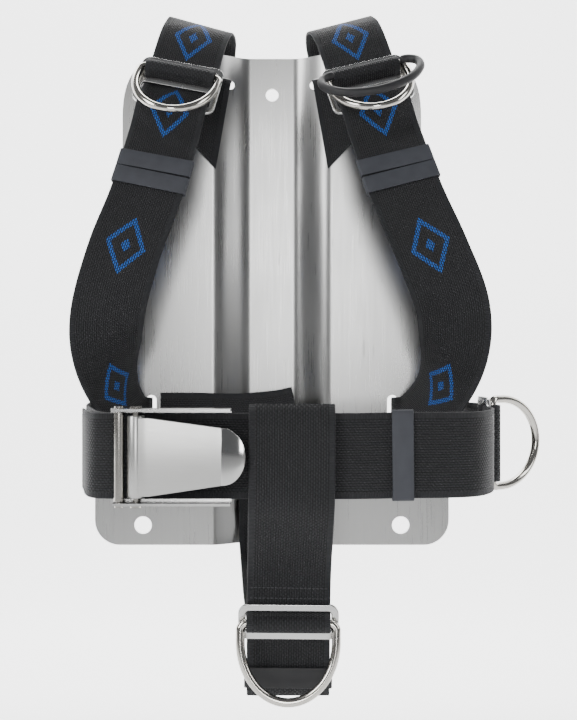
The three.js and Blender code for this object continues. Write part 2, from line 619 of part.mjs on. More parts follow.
add("buckle_frame", makeBuckleFrame(), STEEL);
add("buckle_lever", makeLever(), STEEL);
add("buckle_pin", makePin(BUCKLE.pinR, 3.4, BUCKLE.pivotX), STEEL);
add("buckle_roller", makeRoller(), STEEL);
add("buckle_roller_pin", makePin(1.5, 2.6, BUCKLE.rollerX), STEEL);

export default harness;
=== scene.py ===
"""The looks of a diver's backplate harness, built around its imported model.

Lengths in the classes are millimetres in the part's own frame and become metres when a mesh is made.
"""

import logging
import math
from dataclasses import dataclass, field
from enum import Enum
from typing import Callable, Sequence

import bmesh
import bpy
from mathutils import Matrix, Vector


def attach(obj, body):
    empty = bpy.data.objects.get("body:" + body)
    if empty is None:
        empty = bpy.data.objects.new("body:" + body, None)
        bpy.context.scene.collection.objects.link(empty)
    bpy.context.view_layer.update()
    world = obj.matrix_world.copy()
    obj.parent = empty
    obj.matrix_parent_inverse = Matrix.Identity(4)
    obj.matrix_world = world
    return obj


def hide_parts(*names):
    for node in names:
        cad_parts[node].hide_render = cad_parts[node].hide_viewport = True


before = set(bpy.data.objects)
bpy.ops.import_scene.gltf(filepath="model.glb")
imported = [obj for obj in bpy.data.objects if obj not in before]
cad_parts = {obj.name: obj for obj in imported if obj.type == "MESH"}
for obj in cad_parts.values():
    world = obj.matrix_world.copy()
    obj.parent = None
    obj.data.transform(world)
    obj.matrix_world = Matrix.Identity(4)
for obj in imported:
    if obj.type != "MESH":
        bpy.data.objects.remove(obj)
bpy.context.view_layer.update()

MM = 0.001
GAP = 0.3
WEAVE_UV = "Weave"
ROOT_BODY = "harness"
SHOULDER_SLOT = (56.0, 150.0, 10.0)

log = logging.getLogger("harness")

Row = tuple[float, float, float, float, float, float]
Place = tuple[Vector, Vector, Vector, Vector]
Colour = tuple[float, float, float]
Pair = tuple[float, float]


class Slot(Enum):
    """The record's material slots."""

    STEEL = "satin_steel"
    WIRE = "polished_steel"
    WEBBING = "black_webbing"
    RUBBER = "grey_rubber"


class Grain(Enum):
    """The direction in which a steel surface is brushed, as a share kept of each axis's detail."""

    UPRIGHT = (1.0, 1.0, 0.025)
    LEVEL = (0.03, 1.0, 1.0)


# ---- Shader nodes ----


class Value:
    """A number that varies over a surface. Arithmetic on it adds Math nodes."""

    def __init__(self, shader: "Shader", socket: bpy.types.NodeSocket) -> None:
        """Wraps an output socket of the shader's tree."""
        self.shader = shader
        self.socket = socket

    def math(self, operation: str, *others: "Value | float", reflected: bool = False) -> "Value":
        """Adds one Math node.

        Args:
            operation: The node's operation.
            others: The other operands.
            reflected: True if this value is the second operand.

        Returns:
            The node's result.
        """
        operands = (*others, self) if reflected else (self, *others)
        return self.shader.value("ShaderNodeMath", {"operation": operation}, dict(enumerate(operands)))

    def __add__(self, other: "Value | float") -> "Value":
        """self + other."""
        return self.math("ADD", other)

    def __radd__(self, other: float) -> "Value":
        """other + self."""
        return self.math("ADD", other, reflected=True)

    def __sub__(self, other: "Value | float") -> "Value":
        """self - other."""
        return self.math("SUBTRACT", other)

    def __rsub__(self, other: float) -> "Value":
        """other - self."""
        return self.math("SUBTRACT", other, reflected=True)

    def __mul__(self, other: "Value | float") -> "Value":
        """self * other."""
        return self.math("MULTIPLY", other)

    def __rmul__(self, other: float) -> "Value":
        """other * self."""
        return self.math("MULTIPLY", other, reflected=True)

    def __truediv__(self, other: "Value | float") -> "Value":
        """self / other."""
        return self.math("DIVIDE", other)

    def __rtruediv__(self, other: float) -> "Value":
        """other / self."""
        return self.math("DIVIDE", other, reflected=True)

    def __abs__(self) -> "Value":
        """The value without its sign."""
        return self.math("ABSOLUTE")

    def __lt__(self, other: "Value | float") -> "Value":
        """1 where self is below other, and 0 elsewhere."""
        return self.math("LESS_THAN", other)

    def __gt__(self, other: "Value | float") -> "Value":
        """1 where self is above other, and 0 elsewhere."""
        return self.math("GREATER_THAN", other)

    def sine(self) -> "Value":
        """The sine of the value."""
        return self.math("SINE")

    def whole(self) -> "Value":
        """The value rounded down."""
        return self.math("FLOOR")

    def part(self) -> "Value":
        """What is left above the value rounded down."""
        return self.math("FRACT")

    def most(self, other: "Value | float") -> "Value":
        """The larger of the value and the other."""
        return self.math("MAXIMUM", other)


class Shader:
    """The node tree of one material, around its Principled shader."""

    def __init__(self, name: str) -> None:
        """Makes an empty material with an output and a Principled shader."""
        self.material = bpy.data.materials.new(name)
        self.material.use_nodes = True
        self.tree = self.material.node_tree
        self.tree.nodes.clear()
        self.surface = self.node("ShaderNodeBsdfPrincipled")
        self.node("ShaderNodeOutputMaterial", inputs={"Surface": self.surface.outputs[0]})

    def node(self, kind: str, settings: dict | None = None, inputs: dict | None = None) -> bpy.types.Node:
        """Adds any node.

        Args:
            kind: The node's type.
            settings: The node's own properties, which are set first.
            inputs: A value, a Value or an output socket for each input, by name or number.

        Returns:
            The new node.
        """
        node = self.tree.nodes.new(kind)
        for key, setting in (settings or {}).items():
            setattr(node, key, setting)
        for key, given in (inputs or {}).items():
            self.give(node.inputs[key], given)
        return node

    def give(self, socket: bpy.types.NodeSocket, given: object) -> None:
        """Links an input to a Value or an output socket, or sets it to a plain value.

        Args:
            socket: The input.
            given: What it gets.
        """
        if isinstance(given, Value):
            given = given.socket
        if isinstance(given, bpy.types.NodeSocket):
            self.tree.links.new(given, socket)
        else:
            socket.default_value = given

    def value(self, kind: str, settings: dict | None = None, inputs: dict | None = None) -> Value:
        """Adds a node and wraps its first output."""
        return Value(self, self.node(kind, settings, inputs).outputs[0])

    def coordinates(self, scale: Colour = (1.0, 1.0, 1.0)) -> bpy.types.NodeSocket:
        """The point in the part's frame, in metres, with each axis scaled."""
        source = self.node("ShaderNodeTexCoord").outputs["Object"]
        return self.node("ShaderNodeMapping", inputs={"Vector": source, "Scale": scale}).outputs[0]

    def noise(self, points: bpy.types.NodeSocket, scale: float, detail: float = 3.0) -> Value:
        """Smooth noise from 0 to 1, with scale cells to the metre."""
        return self.value("ShaderNodeTexNoise", inputs={"Vector": points, "Scale": scale, "Detail": detail})

    def spread(self, source: Value, low: float, high: float) -> Value:
        """The source's 0 to 1 spread over low to high."""
        return source * (high - low) + low

    def blend(
        self, share: Value, first: Colour | bpy.types.NodeSocket, second: Colour
    ) -> bpy.types.NodeSocket:
        """Mixes two colours.

        Args:
            share: How much of the second colour there is, from 0 to 1.
            first: A colour or a colour's output socket.
            second: The other colour.

        Returns:
            The mixed colour's output socket.
        """
        base = first if isinstance(first, bpy.types.NodeSocket) else (*first, 1.0)
        mixed = self.node("ShaderNodeMix", {"data_type": "RGBA"}, {0: share, 6: base, 7: (*second, 1.0)})
        return mixed.outputs[2]

    def feed(self, **inputs: object) -> None:
        """Sets or links the Principled shader's sockets. Underscores in the names stand for spaces."""
        for name, given in inputs.items():
            self.give(self.surface.inputs[name.replace("_", " ")], given)

    def bump(self, height: Value, depth: float) -> None:
        """Bumps the surface by height, whose 0 to 1 stands for a depth in millimetres."""
        bump = self.node("ShaderNodeBump", inputs={"Height": height, "Distance": depth * MM})
        self.feed(Normal=bump.outputs[0])


# ---- Finishes ----


@dataclass(frozen=True)
class SatinSteel:
    """Stainless steel with a brushed grain, faint smudges and a few handling scratches."""

    name: str
    tone: float
    roughness: float
    grain: Grain
    relief: float
    grain_scale: float = 900.0
    smudge_scale: float = 14.0
    scratch_scale: float = 260.0
    scratch_stretch: float = 0.12
    scratch_from: float = 0.74

    def material(self) -> bpy.types.Material:
        """Makes the finish's material."""
        shader = Shader(self.name)
        along = shader.coordinates(self.grain.value)
        everywhere = shader.coordinates()
        brushed = shader.noise(along, self.grain_scale, 5.0)
        smudge = shader.noise(everywhere, self.smudge_scale, 2.0)
        upright = shader.coordinates((1.0, 1.0, self.scratch_stretch))
        scratch = shader.noise(upright, self.scratch_scale, 1.0) > self.scratch_from
        shade = shader.spread(brushed, 0.3, 0.7) + shader.spread(smudge, -0.12, 0.12)
        dark, light = self.tone * 0.86, min(self.tone * 1.12, 0.95)
        shader.feed(
            Metallic=1.0,
            Base_Color=shader.blend(shade, (dark, dark, dark * 0.99), (light, light, light * 0.985)),
            Roughness=shader.spread(brushed, -0.06, 0.06) + shader.spread(smudge, -0.05, 0.05)
            + scratch * 0.05 + self.roughness,
        )
        shader.bump(brushed * 0.8 + scratch * 0.2, self.relief)
        return shader.material


@dataclass(frozen=True)
class PolishedWire:
    """Bright stainless wire with hairline wear."""

    name: str
    tone: Colour
    roughness: float

    def material(self) -> bpy.types.Material:
        """Makes the finish's material."""
        shader = Shader(self.name)
        points = shader.coordinates()
        wear = shader.noise(points, 420.0, 4.0)
        cloud = shader.noise(points, 45.0, 2.0)
        dull = tuple(part * 0.8 for part in self.tone)
        shader.feed(
            Metallic=1.0,
            Base_Color=shader.blend(cloud, dull, self.tone),
            Roughness=shader.spread(wear, -0.04, 0.08) + self.roughness,
        )
        shader.bump(wear, 0.01)
        return shader.material


@dataclass(frozen=True)
class LeverSteel:
    """Satin steel whose lifted tip is polished."""

    name: str
    tone: float
    polish_from: float

    def material(self) -> bpy.types.Material:
        """Makes the finish's material. The polish starts at polish_from along X."""
        shader = Shader(self.name)
        brushed = shader.noise(shader.coordinates(Grain.LEVEL.value), 1100.0, 5.0)
        place = shader.node("ShaderNodeSeparateXYZ", inputs={0: shader.coordinates()})
        polished = Value(shader, place.outputs[0]) > self.polish_from * MM
        shade = shader.spread(brushed, 0.2, 0.8) * (1.0 - polished) + polished
        dark, light = self.tone * 0.88, self.tone * 1.08
        shader.feed(
            Metallic=1.0,
            Base_Color=shader.blend(shade, (dark, dark, dark * 0.97), (light, light, light * 0.985)),
            Roughness=(1.0 - polished) * (shader.spread(brushed, -0.05, 0.05) + 0.22) + 0.1,
        )
        shader.bump(brushed * (1.0 - polished), 0.012)
        return shader.material


@dataclass(frozen=True)
class Weave:
    """Close black nylon webbing with ribbed selvedges and, where asked, woven blue diamonds. Its colour
    carries a painted highlight on the threads' crowns and ribs and painted shade, near black, between them.
    """

    name: str
    half_width: float = 25.4
    thread: float = 1.5
    float_length: float = 2.3
    selvedge: float = 3.6
    rib: float = 0.95
    # deep is the painted shade between the threads; crown is the painted highlight on their tops.
    deep: Colour = (0.0012, 0.0013, 0.0016)
    crown: Colour = (0.03, 0.031, 0.035)
    blue: Colour = (0.008, 0.11, 0.46)
    motif_half_length: float = 21.0
    motif_half_width: float = 14.5
    motif_outline_from: float = 0.74
    motif_core: float = 0.24
    motif_crown: float = 0.45
    motifs: tuple[float, ...] = ()
    shift: float = 100.0

    def material(self) -> bpy.types.Material:
        """Makes the finish's material. The shift keeps the weave's counts above 0 on the whole strap."""
        shader = Shader(self.name)
        uv = shader.node("ShaderNodeUVMap", {"uv_map": WEAVE_UV}).outputs[0]
        split = shader.node("ShaderNodeSeparateXYZ", inputs={0: uv})
        along = Value(shader, split.outputs[0]) / MM
        across = Value(shader, split.outputs[1]) / MM
        column = (across + self.shift) / self.thread
        row = (along + self.shift) / self.float_length + column.whole() * 0.5
        crown = (column.part() * math.pi).sine() * (0.25 + 0.75 * (row.part() * math.pi).sine())
        rib = 0.35 + 0.65 * abs(((along + self.shift) * (math.pi / self.rib)).sine())
        edge = abs(across) > self.half_width - self.selvedge
        fuzz = shader.noise(shader.coordinates(), 2600.0, 3.0)
        wear = shader.noise(shader.coordinates(), 38.0, 3.0)
        height = edge * rib + (1.0 - edge) * crown
        # Painted light: the weave's height paints a highlight on the crowns and ribs and shade in the
        # hollows, and the fuzz and wear noise vary how strong that painted highlight is in patches.
        lit = height * shader.spread(fuzz, 0.35, 1.1) * shader.spread(wear, 0.6, 1.15)
        colour = shader.blend(lit, self.deep, self.crown)
        if self.motifs:
            woven = self._motif_mask(along, across) * (crown > self.motif_crown)
            colour = shader.blend(woven * shader.spread(fuzz, 0.75, 1.15), colour, self.blue)
        shader.feed(
            Base_Color=colour,
            Roughness=shader.spread(fuzz, 0.5, 0.72),
            Sheen_Weight=0.04,
            Sheen_Roughness=0.4,
            Specular_IOR_Level=0.3,
        )
        shader.bump(height + fuzz * 0.12, 0.5)
        return shader.material

    def _motif_mask(self, along: Value, across: Value) -> Value:
        """Marks the diamonds.

        Args:
            along: Millimetres along the strap.
            across: Millimetres from the strap's middle.

        Returns:
            1 on each diamond's outline and on its core, and 0 elsewhere.
        """
        mask: Value | None = None
        for centre in self.motifs:
            reach = abs(along - centre)
            radius = reach / self.motif_half_length + abs(across) / self.motif_half_width
            outline = (radius < 1.0) * (radius > self.motif_outline_from)
            shape = outline.most(radius < self.motif_core)
            mask = shape if mask is None else mask.most(shape)
        return mask


@dataclass(frozen=True)
class Rubber:
    """Matte moulded rubber with a fine bloom."""

    name: str
    dark: Colour
    light: Colour
    roughness: float

    def material(self) -> bpy.types.Material:
        """Makes the finish's material."""
        shader = Shader(self.name)
        points = shader.coordinates()
        bloom = shader.noise(points, 110.0, 4.0)
        pores = shader.noise(points, 2200.0, 2.0)
        shader.feed(
            Base_Color=shader.blend(bloom, self.dark, self.light),
            Roughness=shader.spread(bloom, -0.08, 0.08) + self.roughness,
            Specular_IOR_Level=0.4,
        )
        shader.bump(pores * 0.6 + bloom * 0.4, 0.05)
        return shader.material


@dataclass(frozen=True)
class Thread:
    """Twisted black sewing thread."""

    name: str
    colour: Colour

    def material(self) -> bpy.types.Material:
        """Makes the finish's material."""
        shader = Shader(self.name)
        ply = shader.noise(shader.coordinates((1.0, 1.0, 2.5)), 3200.0, 2.0)
        dark = tuple(part * 0.4 for part in self.colour)
        shader.feed(Base_Color=shader.blend(ply, dark, self.colour), Roughness=shader.spread(ply, 0.45, 0.6))
        shader.bump(ply, 0.08)
        return shader.material


def dressed(finish: SatinSteel | PolishedWire | LeverSteel | Weave | Rubber | Thread) -> bpy.types.Material:
    """A palette's entry, whose material is made with the palette."""
    return field(default_factory=finish.material)


@dataclass
class Palette:
    """The object's materials, made once."""

    plate: bpy.types.Material = dressed(SatinSteel("plate_steel", 0.41, 0.29, Grain.UPRIGHT, 0.003))
    stamped: bpy.types.Material = dressed(SatinSteel("stamped_steel", 0.6, 0.24, Grain.LEVEL, 0.002))
    wire: bpy.types.Material = dressed(PolishedWire("ring_wire", (0.66, 0.635, 0.59), 0.12))
    lever: bpy.types.Material = dressed(LeverSteel("lever_steel", 0.5, -26.6))
    webbing: bpy.types.Material = dressed(Weave("plain_webbing"))
    keeper: bpy.types.Material = dressed(
        Rubber("keeper_rubber", (0.026, 0.028, 0.034), (0.05, 0.053, 0.064), 0.62)
    )
    soft_rubber: bpy.types.Material = dressed(
        Rubber("loop_rubber", (0.008, 0.008, 0.009), (0.02, 0.02, 0.022), 0.5)
    )
    thread: bpy.types.Material = dressed(Thread("black_thread", (0.035, 0.036, 0.042)))


# ---- Meshes ----


def finish_piece(
    piece: bpy.types.Object,
    material: bpy.types.Material,
    nodes: Sequence[str] = (),
    body: str = ROOT_BODY,
) -> bpy.types.Object:
    """Dresses a piece, puts it on its body and reports it.

    Args:
        piece: The finished object.
        material: Its only material.
        nodes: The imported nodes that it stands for.
        body: The body that it moves with.

    Returns:
        The piece.
    """
    piece.data.materials.clear()
    piece.data.materials.append(material)
    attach(piece, body)
    if nodes:
        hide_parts(*nodes)
    log.info("%s: %d faces on %s", piece.name, len(piece.data.polygons), body)
    return piece


def new_object(name: str, mesh: bpy.types.Mesh) -> bpy.types.Object:
    """Links a new object that shows a mesh."""
    piece = bpy.data.objects.new(name, mesh)
    bpy.context.scene.collection.objects.link(piece)
    return piece


def smooth(mesh: bpy.types.Mesh, degrees: float = 35.0) -> None:
    """Shades a mesh smooth, but sharp at edges that turn by more than an angle."""
    mesh.polygons.foreach_set("use_smooth", [True] * len(mesh.polygons))
    mesh.set_sharp_from_angle(angle=math.radians(degrees))


def loft(
    name: str,
    rings: Sequence[Sequence[Vector]],
    closed: bool = False,
    uv: Sequence[Sequence[Pair]] | None = None,
) -> bpy.types.Object:
    """Skins a row of point rings, given in millimetres.

    Args:
        name: The object's name.
        rings: Rings of equally many points, each going the same way round.
        closed: True if the last ring joins the first, otherwise both ends are capped.
        uv: A pair for each point, in metres along and across, for the weave's map.

    Returns:
        The new object.
    """
    shape = bmesh.new()
    verts = [[shape.verts.new(point * MM) for point in ring] for ring in rings]
    count, size = len(rings), len(rings[0])
    for i in range(count if closed else count - 1):
        a, b = verts[i], verts[(i + 1) % count]
        for j in range(size):
            k = (j + 1) % size
            shape.faces.new((a[j], a[k], b[k], b[j]))
    if not closed:
        shape.faces.new(verts[0][::-1])
        shape.faces.new(verts[-1])
    if uv:
        pairs = {vert: uv[i][j] for i, ring in enumerate(verts) for j, vert in enumerate(ring)}
        layer = shape.loops.layers.uv.new(WEAVE_UV)
        for face in shape.faces:
            for loop in face.loops:
                loop[layer].uv = pairs[loop.vert]
    bmesh.ops.recalc_face_normals(shape, faces=shape.faces)
    mesh = bpy.data.meshes.new(name)
    shape.to_mesh(mesh)
    shape.free()
    smooth(mesh)
    return new_object(name, mesh)


def turned(name: str, profile: Sequence[Pair], x: float, y: float, z: float) -> bpy.types.Object:
    """An upright lathed piece.

    Args:
        name: The object's name.
        profile: A closed profile of (radius, height).
        x: Where the vertical axis stands.
        y: Where the vertical axis stands.
        z: The height of the profile's zero.

    Returns:
        The new object.
    """
    sides = 40
    rings = []
    for i in range(sides):
        angle = 2 * math.pi * i / sides
        rings.append([
            Vector((x + r * math.cos(angle), y + r * math.sin(angle), z + h)) for r, h in profile
        ])
    return loft(name, rings, closed=True)


def circle(x: float, z: float, radius: float, sides: int = 48) -> list[Pair]:
    """Points of a circle about a middle, anticlockwise."""
    turns = (2 * math.pi * i / sides for i in range(sides))
    return [(x + radius * math.cos(a), z + radius * math.sin(a)) for a in turns]


def round_section(place: Matrix, point: Vector, tangent: Vector, radius: float, sides: int) -> list[Vector]:
    """A round wire's section at a point of a path that lies in a fitting's own XY plane.

    Args:
        place: Where the fitting's own X, Y and Z go.
        point: The wire's middle.
        tangent: The way the path goes there.
        radius: The wire's radius.
        sides: How many points there are.

    Returns:
        The placed points.
    """
    side = Vector((-tangent.y, tangent.x, 0.0))
    return [
        place @ (point + (side * math.cos(a) + Vector((0.0, 0.0, math.sin(a)))) * radius)
        for a in (2 * math.pi * k / sides for k in range(sides))
    ]


def rounded_rectangle(width: float, height: float, radius: float, steps: int = 6) -> list[Pair]:
    """Points of a rectangle with round corners about the origin, anticlockwise.

    Args:
        width: Its size along the first axis.
        height: Its size along the second axis.
        radius: The radius of its corners.
        steps: How many chords make a corner.

    Returns:
        The points.
    """
    radius = min(radius, width / 2, height / 2)
    points = []
    for quarter in range(4):
        sign_x = 1 if quarter in (0, 3) else -1
        sign_y = 1 if quarter < 2 else -1
        cx, cy = sign_x * (width / 2 - radius), sign_y * (height / 2 - radius)
        for i in range(steps + 1):
            angle = math.pi / 2 * (quarter + i / steps)
            points.append((cx + radius * math.cos(angle), cy + radius * math.sin(angle)))
    return points


def stamped_sheet(
    name: str,
    outlines: Sequence[Sequence[Pair]],
    thickness: float,
    edge: float,
    place: Matrix,
) -> bpy.types.Object:
    """A flat piece with rounded edges, cut to an outline and holes, in millimetres.

    Args:
        name: The object's name.
        outlines: The outline first, then the holes.
        thickness: The sheet's thickness.
        edge: The radius of its edges.
        place: Where the piece's own X, Y and Z go, in millimetres.

    Returns:
        The new object.
    """
    curve = bpy.data.curves.new(name, "CURVE")
    curve.dimensions = "2D"
    curve.fill_mode = "BOTH"
    curve.extrude = thickness / 2 - edge
    curve.bevel_depth = edge
    curve.bevel_resolution = 3
    curve.offset = -edge
    for outline in outlines:
        spline = curve.splines.new("POLY")
        spline.points.add(len(outline) - 1)
        for point, (x, y) in zip(spline.points, outline):
            point.co = (x, y, 0.0, 1.0)
        spline.use_cyclic_u = True
    drawn = new_object(name + "_outline", curve)
    mesh = bpy.data.meshes.new_from_object(drawn)
    bpy.data.objects.remove(drawn)
    bpy.data.curves.remove(curve)
    shape = bmesh.new()
    shape.from_mesh(mesh)
    bmesh.ops.remove_doubles(shape, verts=shape.verts, dist=1e-3)
    bmesh.ops.recalc_face_normals(shape, faces=shape.faces)
    shape.transform(Matrix.Scale(MM, 4) @ place)
    shape.to_mesh(mesh)
    shape.free()
    mesh.name = name
    smooth(mesh)
    return new_object(name, mesh)


def apply_modifiers(piece: bpy.types.Object) -> None:
    """Replaces a piece's mesh by what its modifiers make of it."""
    made = bpy.data.meshes.new_from_object(piece.evaluated_get(bpy.context.evaluated_depsgraph_get()))
    piece.modifiers.clear()
    piece.data = made


def boolean(piece: bpy.types.Object, tool: bpy.types.Object, operation: str) -> None:
    """Cuts or keeps what a tool covers of a piece, and removes the tool.

    Args:
        piece: The piece that is cut.
        tool: The solid that cuts it.
        operation: DIFFERENCE to cut, INTERSECT to keep.
    """
    step = piece.modifiers.new(operation, "BOOLEAN")
    step.operation = operation
    step.solver = "EXACT"
    step.object = tool
    apply_modifiers(piece)
    bpy.data.objects.remove(tool)


def prism(name: str, outline: Sequence[Pair], low: float, high: float) -> bpy.types.Object:
    """A solid drawn in X and Z, in millimetres, from low to high along Y."""
    rings = [[Vector((x, y, z)) for x, z in outline] for y in (low, high)]
    return loft(name, rings)


def round_edges(piece: bpy.types.Object, edge: float) -> bpy.types.BevelModifier:
    """Rounds a piece's sharp edges to a radius in millimetres, and returns the modifier."""
    rounding = piece.modifiers.new("round_edges", "BEVEL")
    rounding.width = edge * MM
    rounding.segments = 3
    rounding.limit_method = "ANGLE"
    rounding.angle_limit = math.radians(40.0)
    return rounding


def refine(node: str, material: bpy.types.Material, edge: float) -> None:
    """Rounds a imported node's edges by modifiers and dresses it.

    Args:
        node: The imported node.
        material: Its finish.
        edge: The radius of its edges.
    """
    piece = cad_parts[node]
    flat = piece.modifiers.new("flat_faces", "DECIMATE")
    flat.decimate_type = "DISSOLVE"
    flat.angle_limit = math.radians(1.0)
    round_edges(piece, edge).harden_normals = True
    piece.data.materials.clear()
    piece.data.materials.append(material)
    log.info("%s: packed node with %.2f mm edges", node, edge)


# ---- Webbing ----


def catmull_rom(points: Sequence[Vector], share: float) -> Vector:
    """Finds a point of a smooth curve through evenly weighted points.

    Args:
        points: What the curve goes through.
        share: How far along it is, from 0 to 1.

    Returns:
        The point.
    """
    place = share * (len(points) - 1)
    i = min(int(place), len(points) - 2)
    t = place - i
    p1, p2 = points[i], points[i + 1]
    p0 = points[i - 1] if i else p1 * 2 - p2
    p3 = points[i + 2] if i + 2 < len(points) else p2 * 2 - p1
    start, end = (p2 - p0) / 2, (p3 - p1) / 2
    return (
        p1 + start * t
        + (p2 * 3 - p1 * 3 - start * 2 - end) * t ** 2
        + (p1 * 2 - p2 * 2 + start + end) * t ** 3
    )


class Route:
    """The line that a length of webbing follows, as rows of a point and the way its outer face looks."""

    samples_per_row = 24

    def __init__(self, rows: Sequence[Row]) -> None:
        """Samples the rows' curve."""
        points = [Vector(row[:3]) for row in rows]
        facings = [Vector(row[3:]) for row in rows]
        count = self.samples_per_row * (len(rows) - 1)
        shares = [i / count for i in range(count + 1)]
        self.points = [catmull_rom(points, share) for share in shares]
        self.facings = [catmull_rom(facings, share) for share in shares]
        step = 1e-4
        self.tangents = [
            (catmull_rom(points, min(s + step, 1.0)) - catmull_rom(points, max(s - step, 0.0))).normalized()
            for s in shares
        ]
        self.lengths = [0.0]
        for before, after in zip(self.points, self.points[1:]):
            self.lengths.append(self.lengths[-1] + (after - before).length)
        self.length = self.lengths[-1]

    def at(self, length: float) -> Place:
        """Finds a place on the line.

        Args:
            length: How far along it is.

        Returns:
            The point, and the directions along, across and out there.
        """
        wanted = min(max(length, 0.0), self.length)
        i = 1
        while i < len(self.lengths) - 1 and self.lengths[i] < wanted:
            i += 1
        share = (wanted - self.lengths[i - 1]) / max(self.lengths[i] - self.lengths[i - 1], 1e-9)
        point = self.points[i - 1].lerp(self.points[i], share)
        along = self.tangents[i - 1].lerp(self.tangents[i], share).normalized()
        facing = self.facings[i - 1].lerp(self.facings[i], share)
        out = (facing - along * facing.dot(along)).normalized()
        return point, along, along.cross(out).normalized(), out

    def length_where(self, test: Callable[[Vector], bool]) -> float:
        """The length at which the test first holds."""
        return next(length for length, point in zip(self.lengths, self.points) if test(point))

    def basis(self, length: float, way: int = 1, lift: float = 0.0) -> Matrix:
        """Seats a fitting on the line.

        Args:
            length: How far along it is.
            way: 1 if its Y goes along the line, -1 if against it.
            lift: How far it is out from the line.

        Returns:
            Where its X, Y and Z (across, along and out) go.
        """
        point, along, _, out = self.at(length)
        forward = along * way
        across = forward.cross(out).normalized()
        matrix = Matrix((across, forward, out)).transposed().to_4x4()
        matrix.translation = point + out * lift
        return matrix


@dataclass(frozen=True)
class SlideSize:
    """The sizes that slides, rings and the webbing threaded through them share."""

    web_width: float = 50.8
    web_thickness: float = 2.2
    bar: float = 4.5
    slot: float = 12.6
    rail: float = 4.5
    thickness: float = 2.4
    corner: float = 6.0
    slot_play: float = 1.2
    slot_corner: float = 2.2
    edge: float = 0.55
    wire: float = 2.75
    ring_straight: float = 10.0
    ring_bow: float = 36.0
    ring_corner: float = 3.9

    @property
    def pitch(self) -> float:
        """From one slot's middle to the next."""
        return self.bar + self.slot

    @property
    def height(self) -> float:
        """The slide's middle over the middle of the webbing."""
        return self.web_thickness / 2 + GAP + self.thickness / 2

    @property
    def leg_height(self) -> float:
        """The ring's leg over the middle of the webbing."""
        return self.height + self.thickness / 2 + GAP + self.wire

    @property
    def bight_radius(self) -> float:
        """The radius of the webbing's middle round a ring's leg."""
        return self.wire + 2 * GAP + self.web_thickness / 2

    @property
    def ring_half(self) -> float:
        """Half the width of a ring, between its wires' middles."""
        return self.web_width / 2 + GAP + 0.5 + self.wire


SIZE = SlideSize()


@dataclass(frozen=True)
class Threading:
    """A slide threaded on a route: where, which way round and with how many bars."""

    at: float
    way: int
    bars: int

    def offsets(self) -> list[Pair]:
        """How the webbing climbs over the ring's leg and, with three bars, over the last bar.

        Returns:
            Rows of how far along the slide and how far out the webbing's middle is.
        """
        radius = SIZE.bight_radius
        rows = [(-SIZE.pitch, 0.0), (-radius - 4.0, 0.0), (-radius - 1.9, 0.05), (-radius - 0.4, 1.3)]
        arc_steps = 20
        for i in range(arc_steps + 1):
            angle = math.pi * (1 - i / arc_steps)
            rows.append((radius * math.cos(angle), SIZE.leg_height + radius * math.sin(angle)))
        rows += [(radius + 0.4, 1.3), (radius + 1.9, 0.05), (SIZE.pitch / 2 + 3, 0.0)]
        if self.bars == 2:
            return [*rows, (SIZE.pitch, 0.0)]
        last = 1.5 * SIZE.pitch
        over = SIZE.height + SIZE.thickness / 2 + GAP + SIZE.web_thickness / 2
        rows += [(last - 10.5, 1.1), (last - 7, 3.6), (last - 4, over), (last, over + 0.2)]
        return rows + [(last + 4, over), (last + 10, 2.4), (last + 17, 0.3), (last + 22, 0.0)]


